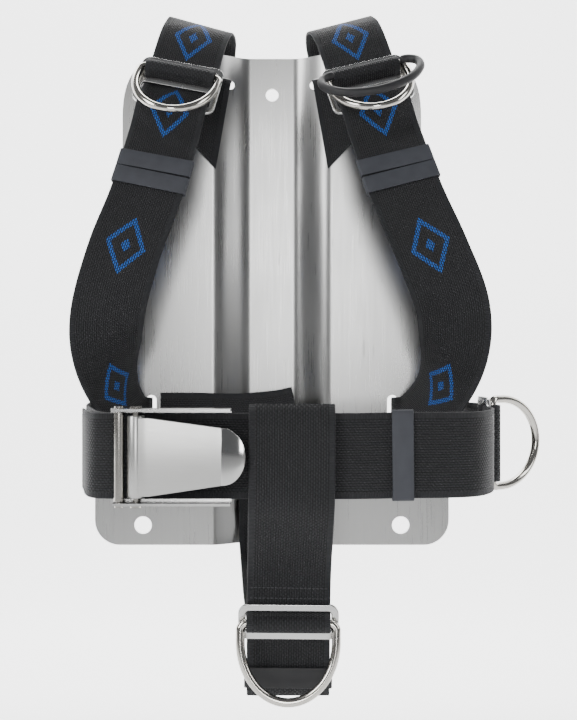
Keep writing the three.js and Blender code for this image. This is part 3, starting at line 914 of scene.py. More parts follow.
@dataclass
class Strap:
    """One length of webbing: its route, its slides and the finish of its weave."""

    name: str
    route: Route
    material: bpy.types.Material
    slides: Sequence[Threading] = ()
    step: float = 2.0
    end_skew: float = 0.0

    def section(self) -> list[Pair]:
        """The webbing's section: across and out, round once, with ribbed selvedges."""
        half, top = SIZE.web_width / 2, SIZE.web_thickness / 2
        upper = [(half, 0.0), (half - 0.12, 0.55 * top), (half - 0.45, 0.88 * top)]
        ribs = [(half - 0.9 - 0.7 * i, top * (1.0 if i % 2 == 0 else 0.86)) for i in range(5)]
        inner = half - 4.6
        flat = [(inner * (1 - 2 * i / 12), top * 0.96) for i in range(13)]
        left = [(-x, y) for x, y in reversed([*upper[1:], *ribs])]
        front = [*upper, *ribs, *flat, *left, (-half, 0.0)]
        return [*front, *((x, -y) for x, y in reversed(front[1:-1]))]

    def stations(self) -> list[tuple[float, Vector, Vector, float]]:
        """Finds where the sections go.

        Returns:
            The length, point, way across and offset of each section along the strap.
        """
        spans = []
        rows: list[Pair] = []
        for slide in self.slides:
            offsets = [(slide.at + slide.way * along, out) for along, out in slide.offsets()]
            ends = [length for length, _ in offsets]
            spans.append((min(ends), max(ends)))
            rows += offsets
        count = math.ceil(self.route.length / self.step)
        for i in range(count + 1):
            length = self.route.length * i / count
            if not any(low - 1 < length < high + 1 for low, high in spans):
                rows.append((length, 0.0))
        placed = []
        for length, offset in sorted(rows, key=lambda row: row[0]):
            point, _, across, out = self.route.at(length)
            placed.append((length, point + out * offset, across, offset))
        return placed

    def build(self) -> bpy.types.Object:
        """Sweeps the section along the stations."""
        placed = self.stations()
        points = [point for _, point, _, _ in placed]
        # Each pass rounds off the lifted stretches towards their neighbours.
        for _ in range(2):
            points = [
                points[i] if i in (0, len(points) - 1) or not placed[i][3]
                else points[i] * 0.6 + (points[i - 1] + points[i + 1]) * 0.2
                for i in range(len(points))
            ]
        travelled = 0.0
        rings, uv = [], []
        section = self.section()
        last = len(points) - 1
        for i, (point, (_, _, across, _)) in enumerate(zip(points, placed)):
            along = (points[min(i + 1, last)] - points[max(i - 1, 0)]).normalized()
            out = along.cross(across).normalized()
            travelled += (point - points[i - 1]).length if i else 0.0
            reach = max(0.0, min(1.0, 2.0 * i / last - 1.0)) * self.end_skew
            fade = self.end_softening(min(i, last - i))
            rings.append([point + across * c + out * (t * fade) + along * (c * reach) for c, t in section])
            uv.append([((travelled + c * reach) * MM, c * MM) for c, _ in section])
        return loft(self.name, rings, uv=uv)

    @staticmethod
    def end_softening(from_end: int) -> float:
        """The share of its thickness that the webbing keeps near its melted ends."""
        return (0.55, 0.85)[from_end] if from_end < 2 else 1.0

    def make(self) -> bpy.types.Object:
        """Builds and dresses the strap."""
        return finish_piece(self.build(), self.material, [self.name])


def stitch_row(
    name: str, start: Vector, step: Vector, count: int, out: Vector, material: bpy.types.Material
) -> bpy.types.Object:
    """A row of raised stitches, in millimetres.

    Args:
        name: The object's name.
        start: The middle of the first stitch, on the webbing's face.
        step: From one stitch to the next.
        count: How many stitches there are.
        out: The way the webbing's face looks.
        material: The thread's finish.

    Returns:
        The row's object.
    """
    shape = bmesh.new()
    forward = step.normalized()
    side = forward.cross(out).normalized()
    for i in range(count):
        basis = Matrix((forward * step.length * 0.4, side * 0.42, out * 0.36)).transposed().to_4x4()
        basis.translation = start + step * i
        bmesh.ops.create_uvsphere(
            shape, u_segments=12, v_segments=8, radius=1.0, matrix=Matrix.Scale(MM, 4) @ basis
        )
    mesh = bpy.data.meshes.new(name)
    shape.to_mesh(mesh)
    shape.free()
    smooth(mesh)
    return finish_piece(new_object(name, mesh), material)


# ---- Fittings ----


@dataclass
class RingFitting:
    """A slide and the D-ring whose straight leg the webbing holds against it."""

    prefix: str
    ring: str
    route: Route
    threading: Threading
    tilt: float
    palette: Palette

    def slide(self) -> bpy.types.Object:
        """The stamped slide."""
        bars = self.threading.bars
        height = bars * SIZE.bar + (bars - 1) * SIZE.slot
        drop = (bars - 2) * SIZE.pitch / 2
        inner = SIZE.web_width + SIZE.slot_play
        rim = rounded_rectangle(inner + 2 * SIZE.rail, height, SIZE.corner, 10)
        slot = rounded_rectangle(inner, SIZE.slot, SIZE.slot_corner)
        outlines = [[(x, y + drop) for x, y in rim]]
        outlines += [[(x, y + i * SIZE.pitch) for x, y in slot] for i in range(bars - 1)]
        place = self.route.basis(self.threading.at, self.threading.way, SIZE.height)
        piece = stamped_sheet(self.prefix + "_slide_plate", outlines, SIZE.thickness, SIZE.edge, place)
        return finish_piece(piece, self.palette.stamped, [self.prefix + "_slide"])

    @staticmethod
    def outline() -> list[Vector]:
        """The middle of the wire, closed, with its straight leg on the X axis."""
        half, r, straight = SIZE.ring_half, SIZE.ring_corner, SIZE.ring_straight
        points = [Vector((x, 0.0, 0.0)) for x in (-12.0, 0.0, 12.0, half - r)]
        for i in range(1, 9):
            angle = math.pi / 2 * (i / 8 - 1)
            points.append(Vector((half - r + r * math.cos(angle), r + r * math.sin(angle), 0.0)))
        steps = 72
        for i in range(steps + 1):
            angle = math.pi * i / steps
            points.append(Vector((half * math.cos(angle), straight + SIZE.ring_bow * math.sin(angle), 0.0)))
        for i in range(8):
            angle = math.pi + math.pi / 2 * i / 8
            points.append(Vector((-half + r + r * math.cos(angle), r + r * math.sin(angle), 0.0)))
        points.append(Vector((-half + r, 0.0, 0.0)))
        return points

    def wire(self) -> bpy.types.Object:
        """The bent D-ring."""
        place = self.route.basis(self.threading.at, self.threading.way, SIZE.leg_height)
        place = place @ Matrix.Rotation(math.radians(self.tilt), 4, "X")
        points = self.outline()
        rings = []
        for i, point in enumerate(points):
            tangent = (points[(i + 1) % len(points)] - points[i - 1]).normalized()
            rings.append(round_section(place, point, tangent, SIZE.wire, 20))
        piece = loft(self.ring + "_wire", rings, closed=True)
        return finish_piece(piece, self.palette.wire, [self.ring], self.ring + "_body")

    def make(self) -> None:
        """Builds the slide and the ring."""
        self.slide()
        self.wire()


@dataclass
class RingLoop:
    """The rubber loop that is stretched over the front of a chest ring."""

    name: str
    place: Matrix
    body: str
    material: bpy.types.Material
    radius: float = 3.05
    path: tuple[Pair, ...] = (
        (-24.5, 7.6), (-30.5, 8.5), (-35.5, 14), (-34, 24), (-24, 35), (-8, 41),
        (8, 41), (24, 35), (34, 24), (35.5, 14), (30.5, 8.5), (24.5, 7.6),
    )

    def make(self) -> bpy.types.Object:
        """Sweeps the loop, with rounded ends."""
        knots = [Vector((x, y, 0.0)) for x, y in self.path]
        count = 110
        points = [catmull_rom(knots, i / count) for i in range(count + 1)]
        rings = []
        for i, point in enumerate(points):
            tangent = (points[min(i + 1, count)] - points[max(i - 1, 0)]).normalized()
            from_end = min(i, count - i)
            radius = self.radius * (0.55, 0.82, 0.95)[from_end] if from_end < 3 else self.radius
            rings.append(round_section(self.place, point, tangent, radius, 18))
        piece = loft(self.name + "_cord", rings)
        return finish_piece(piece, self.material, [self.name], self.body)


@dataclass
class Keeper:
    """A rubber band round the webbing."""

    node: str
    place: Matrix
    material: bpy.types.Material
    inside: float = SIZE.web_thickness
    width: float = 12.8
    wall: float = 1.2

    def make(self) -> bpy.types.Object:
        """Sweeps the band's wall once round the webbing."""
        wide = SIZE.web_width + 2 * GAP + self.wall
        deep = self.inside + 2 * GAP + self.wall
        path = [Vector((x, 0.0, z)) for x, z in rounded_rectangle(wide, deep, 1.1, 5)]
        dense: list[Vector] = []
        for i, point in enumerate(path):
            after = path[(i + 1) % len(path)]
            parts = max(1, round((after - point).length / 4))
            dense += [point.lerp(after, k / parts) for k in range(parts)]
        wall = rounded_rectangle(self.wall, self.width, 0.45, 4)
        rings = []
        for i, point in enumerate(dense):
            tangent = (dense[(i + 1) % len(dense)] - dense[i - 1]).normalized()
            outward = Vector((tangent.z, 0.0, -tangent.x))
            rings.append([self.place @ (point + outward * n + Vector((0.0, s, 0.0))) for n, s in wall])
        piece = loft(self.node + "_band", rings, closed=True)
        return finish_piece(piece, self.material, [self.node])


# ---- Sub-assemblies ----


@dataclass
class Backplate:
    """The bent stainless plate, with its slots and holes."""

    palette: Palette
    thickness: float = 3.0
    top: float = 167.7
    bottom: float = -207.0
    shoulder_half: float = 94.0
    side_half: float = 114.0
    foot_half: float = 135.0
    foot_height: float = 45.0
    foot_corner: float = 19.0
    shoulder_corner: float = 24.0
    floor_half: float = 16.0
    mouth_half: float = 46.0
    depth: float = 14.0
    bolt_z: float = 139.7
    bolt_radius: float = 5.0
    edge: float = 0.6
    # X and Z, then the hole's radius or the slot's turn in degrees.
    foot_hole: Vector = field(default_factory=lambda: Vector((98.4, -192.0, 6.7)))
    shoulder_slot: Vector = field(default_factory=lambda: Vector(SHOULDER_SLOT))
    waist_slot: Vector = field(default_factory=lambda: Vector((92.0, -120.0, 90.0)))
    crotch_slot_z: float = -165.0

    def front(self, x: float) -> float:
        """Depth of the sheet's front face at a distance from the middle."""
        share = (abs(x) - self.floor_half) / (self.mouth_half - self.floor_half)
        s = min(max(share, 0.0), 1.0)
        return -self.thickness - self.depth * s * s * (3 - 2 * s)

    def sheet(self) -> bpy.types.Object:
        """The bent sheet before it is cut to its outline."""
        steps = 32
        wall = self.floor_half - self.mouth_half
        half = [self.foot_half + 5, *(self.mouth_half + wall * i / steps for i in range(steps + 1))]
        across = [-x for x in half] + half[::-1]
        back = []
        for x in across:
            slope = (self.front(x + 0.01) - self.front(x - 0.01)) / 0.02
            normal = Vector((-slope, 1.0)).normalized() * self.thickness
            back.append((x + normal.x, self.front(x) + normal.y))
        section = [(x, self.front(x)) for x in across] + back[::-1]
        rings = [[Vector((x, y, z)) for x, y in section] for z in (self.bottom - 10, self.top + 10)]
        return loft("backplate_sheet", rings)

    def outline(self) -> list[Pair]:
        """The plate's outline in X and Z."""
        waist = self.bottom + self.foot_height
        corner, foot, side, shoulder = self.foot_corner, self.foot_half, self.side_half, self.shoulder_half
        right = [
            (foot - corner + corner * math.sin(a), self.bottom + corner - corner * math.cos(a))
            for a in (math.pi / 2 * i / 12 for i in range(13))
        ]

        def bend(start: Pair, pull: Pair, end: Pair) -> None:
            """Adds a quadratic curve from the last point."""
            for i in range(1, 13):
                t = i / 12
                right.append(tuple(
                    (1 - t) ** 2 * a + 2 * t * (1 - t) * b + t * t * c for a, b, c in zip(start, pull, end)
                ))

        right.append((foot, waist - 8))
        bend(right[-1], (foot, waist + 4), (foot - 10, waist + 8))
        bend(right[-1], (side, waist + 13), (side, waist + 22))
        drop = self.shoulder_corner
        right.append((side, self.top - 2 * drop))
        bend(right[-1], (side, self.top - drop / 2), (shoulder, self.top - drop / 4))
        bend(right[-1], (shoulder - 12, self.top), (shoulder - 26, self.top))
        return right + [(-x, z) for x, z in reversed(right)]

    def openings(self) -> list[list[Pair]]:
        """The outlines of the plate's holes and slots in X and Z."""

        def slot(x: float, z: float, degrees: float) -> list[Pair]:
            """A webbing slot's rim, its long way turned from X."""
            turn = math.radians(degrees)
            rim = rounded_rectangle(SIZE.web_width + 4, SIZE.web_thickness + 5.8, 4.0, 10)
            return [
                (x + a * math.cos(turn) - b * math.sin(turn), z + a * math.sin(turn) + b * math.cos(turn))
                for a, b in rim
            ]

        holes = [circle(0, self.bolt_z, self.bolt_radius), circle(0, -self.bolt_z, self.bolt_radius)]
        holes.append(slot(0, self.crotch_slot_z, 0))
        for side in (-1, 1):
            holes.append(circle(side * self.foot_hole.x, self.foot_hole.y, self.foot_hole.z))
            top = self.shoulder_slot
            holes.append(slot(side * top.x, top.y, side * top.z))
            holes.append(slot(side * self.waist_slot.x, self.waist_slot.y, self.waist_slot.z))
        return holes

    def make(self) -> bpy.types.Object:
        """Cuts the bent sheet to its outline and rounds its edges."""
        piece = self.sheet()
        boolean(piece, prism("plate_outline", self.outline(), -40, 20), "INTERSECT")
        for rim in self.openings():
            boolean(piece, prism("plate_opening", rim, -40, 20), "DIFFERENCE")
        smooth(piece.data, 30.0)
        round_edges(piece, self.edge)
        even = piece.modifiers.new("flat_shading", "WEIGHTED_NORMAL")
        even.weight = 100
        return finish_piece(piece, self.palette.plate, ["backplate"])


@dataclass
class ShoulderStrap:
    """One shoulder's webbing, with its slide, ring, keepers and the run below the plate's top slot."""

    side: str
    rows: Sequence[Row]
    palette: Palette
    motif_levels: tuple[float, ...]
    tilt: float = 22.0
    leg_z: float = 140.0
    leg_y: float = -46.0
    motif_y: float = -30.0
    motif_shift: float = 12.0
    loop_tilt: float = 5.0
    loop_lift: float = 6.5
    keeper_from_leg: Pair = (74.0, 87.7)
    slot: Vector = field(default_factory=lambda: Vector(SHOULDER_SLOT))

    def make(self) -> None:
        """Builds the strap and what is on it."""
        route = Route(self.rows)
        leg = route.length_where(lambda p: p.y < self.leg_y and p.z < self.leg_z)
        threading = Threading(leg, 1, 3)
        motifs = tuple(
            route.length_where(lambda p, level=level: p.y < self.motif_y and p.z < level)
            + self.motif_shift * (level < self.leg_z)
            for level in self.motif_levels
        )
        material = Weave(self.side + "_shoulder_weave", motifs=motifs).material()
        Strap(self.side + "_shoulder_webbing", route, material, [threading]).make()
        ring = self.side + "_chest_ring"
        RingFitting(self.side + "_shoulder", ring, route, threading, self.tilt, self.palette).make()
        for name, distance in zip(("upper", "lower"), self.keeper_from_leg):
            Keeper(f"{self.side}_keeper_{name}", route.basis(leg + distance), self.palette.keeper).make()
        if self.side == "left":
            place = route.basis(leg, 1, SIZE.leg_height)
            place = place @ Matrix.Rotation(math.radians(self.tilt + self.loop_tilt), 4, "X")
            place = place @ Matrix.Translation((0, 0, self.loop_lift))
            RingLoop("left_ring_retainer", place, ring + "_body", self.palette.soft_rubber).make()
        self.anchor()

    def anchor(self) -> None:
        """The short run below the plate's top slot, folded to a point at its end."""
        sign = 1 if self.side == "left" else -1
        tilt = math.radians(self.slot.z)
        down = Vector((sign * math.sin(tilt), 0.0, -math.cos(tilt)))
        in_front = -(Backplate.thickness + Backplate.depth) - GAP - SIZE.web_thickness / 2 - 1
        rows = []
        for y, drop, face_y, face_z in (
            (-13.2, -1.6, 0, 1), (-16.5, -1, -0.4, 1), (in_front + 0.4, 3.5, -1, 0.4),
            (in_front, 10, -1, 0), (in_front, 28, -1, 0), (in_front, 48, -1, 0),
        ):
            point = Vector((sign * self.slot.x, 0.0, self.slot.y)) + down * drop
            rows.append((point.x, y, point.z, -down.x * face_z, face_y, -down.z * face_z))
        name = self.side + "_anchor_webbing"
        Strap(name, Route(rows), self.palette.webbing, step=1.0, end_skew=sign * 0.75).make()


@dataclass
class WaistBelt:
    """The belt's runs, the hip slide and ring and the belt's keeper."""

    right_rows: Sequence[Row]
    left_rows: Sequence[Row]
    tucked_rows: Sequence[Row]
    palette: Palette
    hip_tilt: float = 50.0
    hip_x: float = 120.0
    hip_y: float = -127.0
    keeper_x: float = 81.0
    front_y: float = -200.0

    def make(self) -> None:
        """Builds the belt and what is on it."""
        left = Route(self.left_rows)
        hip = Threading(left.length_where(lambda p: p.x > self.hip_x and p.y < self.hip_y), -1, 3)
        Strap("left_waist_webbing", left, self.palette.webbing, [hip]).make()
        Strap("right_waist_webbing", Route(self.right_rows), self.palette.webbing).make()
        Strap("tucked_belt_end", Route(self.tucked_rows), self.palette.webbing).make()
        RingFitting("hip", "hip_ring", left, hip, self.hip_tilt, self.palette).make()
        keeper_at = left.length_where(lambda p: p.y < self.front_y and p.x < self.keeper_x)
        Keeper("waist_keeper", left.basis(keeper_at), self.palette.keeper).make()


@dataclass
class CrotchStrap:
    """The crotch webbing, its slide and ring, its keeper, its bolt eyelet and its stitching."""

    rows: Sequence[Row]
    palette: Palette
    tilt: float = 13.0
    leg_y: float = -183.0
    leg_z: float = -224.6
    keeper_z: float = -259.5
    keeper_front_y: float = -184.5
    keeper_back_y: float = -176.0
    keeper_slack: float = 0.8
    eyelet: Vector = field(default_factory=lambda: Vector((0.0, 5.0, -139.7)))
    eyelet_radius: float = 5.6
    stitch_levels: tuple[float, ...] = (-204.5, -210.5)
    stitch_y: float = -186.0
    stitch_pitch: float = 2.5
    stitches: int = 19

    def make(self) -> None:
        """Builds the strap and what is on it."""
        route = Route(self.rows)
        leg = route.length_where(lambda p: p.y < self.leg_y and p.z > self.leg_z)
        threading = Threading(leg, -1, 2)
        strap = Strap("crotch_webbing", route, self.palette.webbing, [threading])
        piece = strap.build()
        rim = circle(self.eyelet.x, self.eyelet.z, self.eyelet_radius, 40)
        boolean(piece, prism("eyelet", rim, self.eyelet.y - 10, self.eyelet.y + 10), "DIFFERENCE")
        smooth(piece.data)
        finish_piece(piece, self.palette.webbing, [strap.name])
        RingFitting("crotch", "crotch_ring", route, threading, self.tilt, self.palette).make()
        self.keeper(route)
        for i, level in enumerate(self.stitch_levels):
            at = route.length_where(lambda p, level=level: p.y < self.stitch_y and p.z > level)
            point, _, across, out = route.at(at)
            reach = self.stitch_pitch * (self.stitches - 1) / 2
            start = point - across * reach + out * (SIZE.web_thickness / 2)
            step = across * self.stitch_pitch
            stitch_row(f"crotch_stitching_{i + 1}", start, step, self.stitches, out, self.palette.thread)

    def keeper(self, route: Route) -> None:
        """The rubber band round both runs of the strap."""
        front = route.length_where(lambda p: p.y < self.keeper_front_y and p.z > self.keeper_z)
        back = route.length_where(lambda p: p.y < self.keeper_back_y and p.z < self.keeper_z)
        between = (route.at(front)[0] - route.at(back)[0]).length
        place = route.basis(front, -1, -between / 2)
        inside = between + SIZE.web_thickness + self.keeper_slack
        Keeper("crotch_keeper", place, self.palette.soft_rubber, inside).make()


@dataclass
class Buckle:
    """The waist buckle: a flanged frame, a cam lever on its pin and a roller."""

    palette: Palette
    pivot_x: float = -76.5
    belt_y: float = -209.4146
    belt_z: float = -122.5
    head_radius: float = 5.2
    bore: float = 2.25
    root_width: float = 46.0
    tip_width: float = 34.0
    tip_x: float = -12.3
    sheet: float = 1.8
    nose: float = 14.0
    nose_dip: float = 3.2
    tip_dip: float = 0.6
    set_back: float = 0.4

    @property
    def head_y(self) -> float:
        """The depth of the lever's pin."""
        return self.belt_y - SIZE.web_thickness / 2 - GAP - self.head_radius

    def face(self, x: float) -> float:
        """Finds the blade's front face: flat at the head, dipping to the nose, then lifted at the tip.

        Args:
            x: A place along the blade.

        Returns:
            The face's depth there, with its bends rounded.
        """
        face = self.head_y - self.head_radius + self.set_back
        knots = [
            (self.pivot_x, face), (self.pivot_x + 6, face),
            (self.tip_x - self.nose, face + self.nose_dip), (self.tip_x + 1, face + self.tip_dip),
        ]
        total = 0.0
        for shift in (-1.2, -0.6, 0.0, 0.6, 1.2):
            at = min(max(x + shift, knots[0][0]), knots[-1][0])
            for (x0, y0), (x1, y1) in zip(knots, knots[1:]):
                if x0 <= at <= x1:
                    total += y0 + (y1 - y0) * (at - x0) / (x1 - x0)
                    break
        return total / 5

    def half_width(self, x: float) -> float:
        """Finds the blade's width: full at the head, tapering to the nose and round at the tip.

        Args:
            x: A place along the blade.

        Returns:
            Half the width there.
        """
        nose_x = self.tip_x - self.nose
        shoulder = self.pivot_x + 8
        if x <= shoulder:
            return self.root_width / 2
        if x <= nose_x:
            share = (x - shoulder) / (nose_x - shoulder)
            return (self.root_width + (self.tip_width - self.root_width) * share) / 2
        share = min((x - nose_x) / self.nose, 1.0)
        return max(self.tip_width / 2 * math.sqrt(1 - share * share), 0.6)

    def blade(self) -> bpy.types.Object:
        """The lever's blade, with rounded edges."""
        nose_x = self.tip_x - self.nose
        straight = [self.pivot_x + (nose_x - self.pivot_x) * i / 40 for i in range(40)]
        tip = [nose_x + (self.nose - 0.02) * math.sin(math.pi / 2 * i / 28) for i in range(29)]
        rings = []
        for x in [*straight, *tip]:
            half, front = self.half_width(x), self.face(x)
            loop = rounded_rectangle(2 * half, self.sheet, 0.5, 4)
            rings.append([Vector((x, front + self.sheet / 2 + t, self.belt_z + w)) for w, t in loop])
        return loft("buckle_lever_blade", rings)

    def make(self) -> None:
        """Builds the lever and rounds the edges of the other pieces."""
        blade = self.blade()
        half = self.root_width / 2 + 1
        profile = [
            (self.bore, -half), (self.head_radius - 0.7, -half), (self.head_radius - 0.2, -half + 0.2),
            (self.head_radius, -half + 0.7), (self.head_radius, half - 0.7),
            (self.head_radius - 0.2, half - 0.2), (self.head_radius - 0.7, half), (self.bore, half),
        ]
        head = turned("buckle_lever_head", profile, self.pivot_x, self.head_y, self.belt_z)
        finish_piece(blade, self.palette.lever, ["buckle_lever"], "buckle_lever_body")
        finish_piece(head, self.palette.lever, (), "buckle_lever_body")
        refine("buckle_frame", self.palette.stamped, 0.35)
        for node, edge in (("buckle_pin", 0.4), ("buckle_roller", 0.3), ("buckle_roller_pin", 0.35)):
            refine(node, self.palette.wire, edge)


@dataclass
class Studio:
    """The camera, the lights and the pale floor that sweeps up behind."""

    camera_at: Vector = field(default_factory=lambda: Vector((0.0127, -0.867, -0.0659)))
    sensor: float = 36.0
    lens: float = 55.675
    floor_z: float = -0.55
    room_colour: tuple[float, ...] = (0.86, 0.87, 0.9, 1.0)
    room_strength: float = 0.18

    def camera(self) -> None:
        """Makes the camera, level and square to the plate."""
        data = bpy.data.cameras.new("camera")
        data.lens = self.lens
        data.sensor_width = self.sensor
        data.clip_start = 0.01
        camera = bpy.data.objects.new("camera", data)
        camera.location = self.camera_at
        camera.rotation_euler = (math.pi / 2, 0.0, 0.0)
        bpy.context.scene.collection.objects.link(camera)
        bpy.context.scene.camera = camera

    def light(
        self, name: str, at: Colour, size: Pair, watts: float, aim: Colour = (0, 0, -0.05)
    ) -> None:
        """Adds a rectangular soft light.

        Args:
            name: The light's name.
            at: Its middle, in metres.
            size: Its width and height, in metres.
            watts: Its power.
            aim: The point that it faces.
        """
        data = bpy.data.lights.new(name, "AREA")
        data.shape = "RECTANGLE"
        data.size, data.size_y = size
        data.energy = watts
        lamp = bpy.data.objects.new(name, data)
        lamp.location = at
        lamp.rotation_euler = (Vector(aim) - Vector(at)).to_track_quat("-Z", "Y").to_euler()
        bpy.context.scene.collection.objects.link(lamp)

    def backdrop(self) -> None:
        """A pale floor that curves up into a wall."""
        radius, back, reach = 0.8, 1.9, 6.0
        profile = [Vector((0.0, -reach, self.floor_z)), Vector((0.0, back - radius, self.floor_z))]
        for i in range(1, 17):
            angle = math.pi / 2 * i / 16
            rise = radius - radius * math.cos(angle)
            profile.append(Vector((0.0, back - radius + radius * math.sin(angle), self.floor_z + rise)))
        profile.append(Vector((0.0, back, reach)))
        mesh = bpy.data.meshes.new("backdrop")
        verts = [(side * reach, p.y, p.z) for p in profile for side in (-1, 1)]
        faces = [(2 * i, 2 * i + 1, 2 * i + 3, 2 * i + 2) for i in range(len(profile) - 1)]
        mesh.from_pydata(verts, [], faces)
        smooth(mesh)
        floor = new_object("backdrop", mesh)
        shader = Shader("backdrop_paper")
        depth = shader.node("ShaderNodeSeparateXYZ", inputs={0: shader.coordinates()}).outputs[1]
        glow = shader.node(
            "ShaderNodeMapRange", {"interpolation_type": "SMOOTHSTEP"}, {"Value": depth, 1: 0.1, 2: 0.8}
        ).outputs[0]
        shader.feed(
            Base_Color=(0.93, 0.93, 0.93, 1.0), Roughness=0.9,
            Emission_Color=shader.blend(Value(shader, glow), (0.0, 0.0, 0.0), (1.0, 1.0, 1.0)),
            Emission_Strength=2.2,
        )
        floor.data.materials.append(shader.material)

    def surroundings(self) -> None:
        """The even, dim light of the room."""
        world = bpy.data.worlds.new("studio")
        world.use_nodes = True
        background = world.node_tree.nodes["Background"]
        background.inputs["Color"].default_value = self.room_colour
        background.inputs["Strength"].default_value = self.room_strength
        bpy.context.scene.world = world

    def make(self) -> None:
        """Makes the lights and the backdrop."""
        self.backdrop()
        self.surroundings()
        self.light("key", (-1.3, -1.2, 0.8), (0.7, 1.3), 24.0)
        self.light("front", (0.05, -2.4, 0.25), (0.55, 0.8), 13.0)
        self.light("rim", (1.3, -0.6, 0.7), (0.35, 1.2), 7.0)
        self.light("sweep", (0.0, 0.8, 1.8), (2.5, 0.8), 50.0, (0.0, 1.6, -0.3))


# ---- The webbing's routes, in millimetres ----

RIGHT_SHOULDER: tuple[Row, ...] = (
    (-57.5, -2.5, 150, -0.26, 1, 0), (-55, -1, 163, -0.26, 1, 0.1), (-53, -6, 179, 0, 0.9, 0.4),
    (-52.6, -22, 186.5, 0.3, 0.2, 1), (-54.7, -36.5, 181, 0.1, -0.7, 0.7),
    (-58.1, -43.9, 170, 0, -0.9, 0.35), (-62.9, -51.6, 150, 0, -0.9, 0.35),
    (-67.4, -58.9, 131, 0, -0.9, 0.35), (-74.9, -70.9, 100, 0, -0.9, 0.35),
    (-86.8, -90.2, 50, 0, -0.9, 0.35), (-101, -100, 8, 0, -1, 0.1), (-112, -99, -34, 0.15, -1, 0),
    (-113.5, -86, -66, 0.5, -0.85, 0), (-107, -62, -96, 0.9, -0.45, 0), (-96, -40, -115, 1, 0, 0),
    (-92, -25, -120, 1, 0, 0), (-92, -15.4, -120, 1, 0, 0),
)
LEFT_SHOULDER: tuple[Row, ...] = (
    (56.5, -2.5, 150, 0.26, 1, 0), (55, -0.5, 163, 0.26, 1, 0.1), (51.5, -5.5, 179, 0, 0.9, 0.4),
    (50.4, -22, 187, -0.3, 0.2, 1), (53.4, -37, 182.5, -0.1, -0.7, 0.7), (57.9, -45.2, 172, 0, -0.9, 0.35),
    (64.6, -54, 150, 0, -0.9, 0.35), (70.3, -61.7, 131, 0, -0.9, 0.35), (79.8, -74.1, 100, 0, -0.9, 0.35),
    (95, -94.3, 50, 0, -0.9, 0.35), (112, -102, 8, 0, -1, 0.1), (126, -99, -30, -0.15, -1, 0),
    (127, -88, -64, -0.45, -0.85, 0), (117, -64, -95, -0.85, -0.5, 0), (98, -41, -115, -1, 0, 0),
    (92, -25, -120, -1, 0, 0), (92, -15.4, -120, -1, 0, 0),
)
RIGHT_WAIST: tuple[Row, ...] = (
    (-92, -12.6, -120, -1, 0, 0), (-94.5, -7, -120, -0.6, 0.8, 0), (-104, -5, -120, 0, 1, 0),
    (-117, -7, -120, -0.4, 1, 0), (-125, -18, -120, -1, 0.3, 0), (-130, -60, -121.5, -1, 0, 0),
    (-125, -104, -122, -1, 0, 0), (-114, -150, -122, -1, -0.1, 0), (-107.5, -178, -122, -1, -0.2, 0),
    (-103, -193, -122, -1, -0.3, 0), (-96, -202, -122.5, -0.6, -1, 0), (-84, -204.3, -122.5, 0, -1, 0),
    (-58, -204.3, -122.5, 0, -1, 0),
)
LEFT_WAIST: tuple[Row, ...] = (
    (92, -12.6, -120, 1, 0, 0), (94.5, -7, -120, 0.6, 0.8, 0), (104, -5, -120, 0, 1, 0),
    (117, -7, -120, 0.4, 1, 0), (127, -18, -120, 1, 0.4, 0), (136, -50, -120.5, 1, 0.1, 0),
    (140, -80, -121, 1, 0, 0), (141, -105, -121, 1, 0, 0), (141, -130, -121, 1, 0, 0),
    (141, -155, -121, 1, 0, 0), (140, -172, -121, 1, 0, 0), (135, -190, -121.5, 0.9, -0.4, 0),
    (124, -203, -122, 0.4, -0.9, 0), (105, -209.5, -122, 0.1, -1, 0), (80, -211, -122, 0, -1, 0),
    (50, -211, -122.5, 0, -1, 0), (0, -210.5, -122.5, 0, -1, 0), (-30, -209.4, -122.5, 0, -1, 0),
    (-62, -209.4, -122.5, 0, -1, 0), (-82, -209.4, -122.5, 0, -1, 0), (-94, -209.2, -122.5, 0, -1, 0),
    (-103, -205.5, -122.5, -0.6, -1, 0), (-109, -195, -122, -1, -0.4, 0), (-113, -178, -122, -1, -0.1, 0),
    (-119, -152, -122, -1, -0.1, 0),
)
TUCKED_END: tuple[Row, ...] = (
    (-84, -25, -116, 0, -1, 0), (-60, -24, -116, 0, -1, 0), (-25, -26, -116.5, 0, -1, 0),
    (5, -30, -114, 0, -1, 0), (20, -33, -111, 0, -1, 0),
)
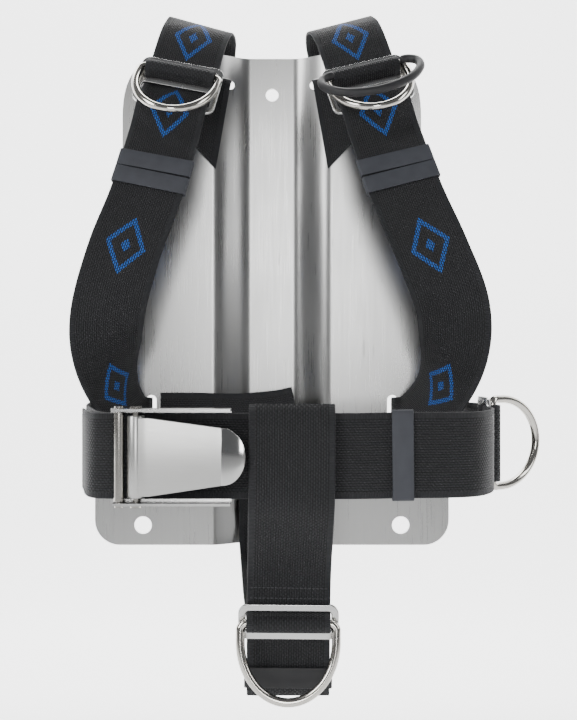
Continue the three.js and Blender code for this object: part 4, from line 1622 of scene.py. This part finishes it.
CROTCH: tuple[Row, ...] = (
    (0, 5, -125, 0, 1, 0), (0, 5, -138, 0, 1, 0), (0, 5, -154, 0, 1, 0), (0, 4, -161.2, 0, 1, -0.4),
    (0, -1.4, -164.4, 0, 1, -1), (0, -7.2, -166.8, 0, 1, -0.8), (0, -9.4, -172, 0, 1, -0.2),
    (0, -9.8, -181, 0, 1, -0.1), (0, -9.8, -200, 0, 1, -0.2), (2, -24, -219, 0, 0.6, -0.8),
    (6, -80, -230, 0, 0.2, -1), (10.5, -140, -235, 0, 0.2, -1), (11.8, -168, -239, 0, 0.5, -0.9),
    (12.3, -176.6, -246, 0, 0.9, -0.5),
    (12.4, -178.3, -254, 0, 1, 0), (12.4, -178.6, -266, 0, 1, -0.1), (12.4, -182, -271.6, 0, 0, -1),
    (12.4, -185.4, -266, 0, -1, 0), (12.5, -186.6, -254, 0, -1, 0), (12.6, -188.7, -233, 0, -1, 0),
    (12.8, -190.8, -212, 0, -1, 0), (13.2, -194, -192, 0, -1, 0), (14, -208, -166, 0, -1, 0),
    (14.5, -215.4, -150, 0, -1, 0), (14.8, -216, -125, 0, -1, 0), (14.8, -215.8, -104, 0, -1, 0.1),
    (14.8, -211, -92.5, 0, 0, 1), (14.8, -205.5, -103, 0, 1, 0.1), (14.8, -205, -134, 0, 1, 0),
    (14.6, -205, -152, 0, 1, 0),
)
MOTIF_LEVELS = (172.0, 108.0, 10.0, -86.0)


def main() -> None:
    """Builds the studio and every sub-assembly in order."""
    logging.basicConfig(level=logging.INFO, format="%(message)s")
    studio = Studio()
    studio.camera()
    palette = Palette()
    Backplate(palette).make()
    ShoulderStrap("right", RIGHT_SHOULDER, palette, MOTIF_LEVELS).make()
    ShoulderStrap("left", LEFT_SHOULDER, palette, MOTIF_LEVELS).make()
    WaistBelt(RIGHT_WAIST, LEFT_WAIST, TUCKED_END, palette).make()
    CrotchStrap(CROTCH, palette).make()
    Buckle(palette).make()
    studio.make()


if __name__ == "__main__":
    main()
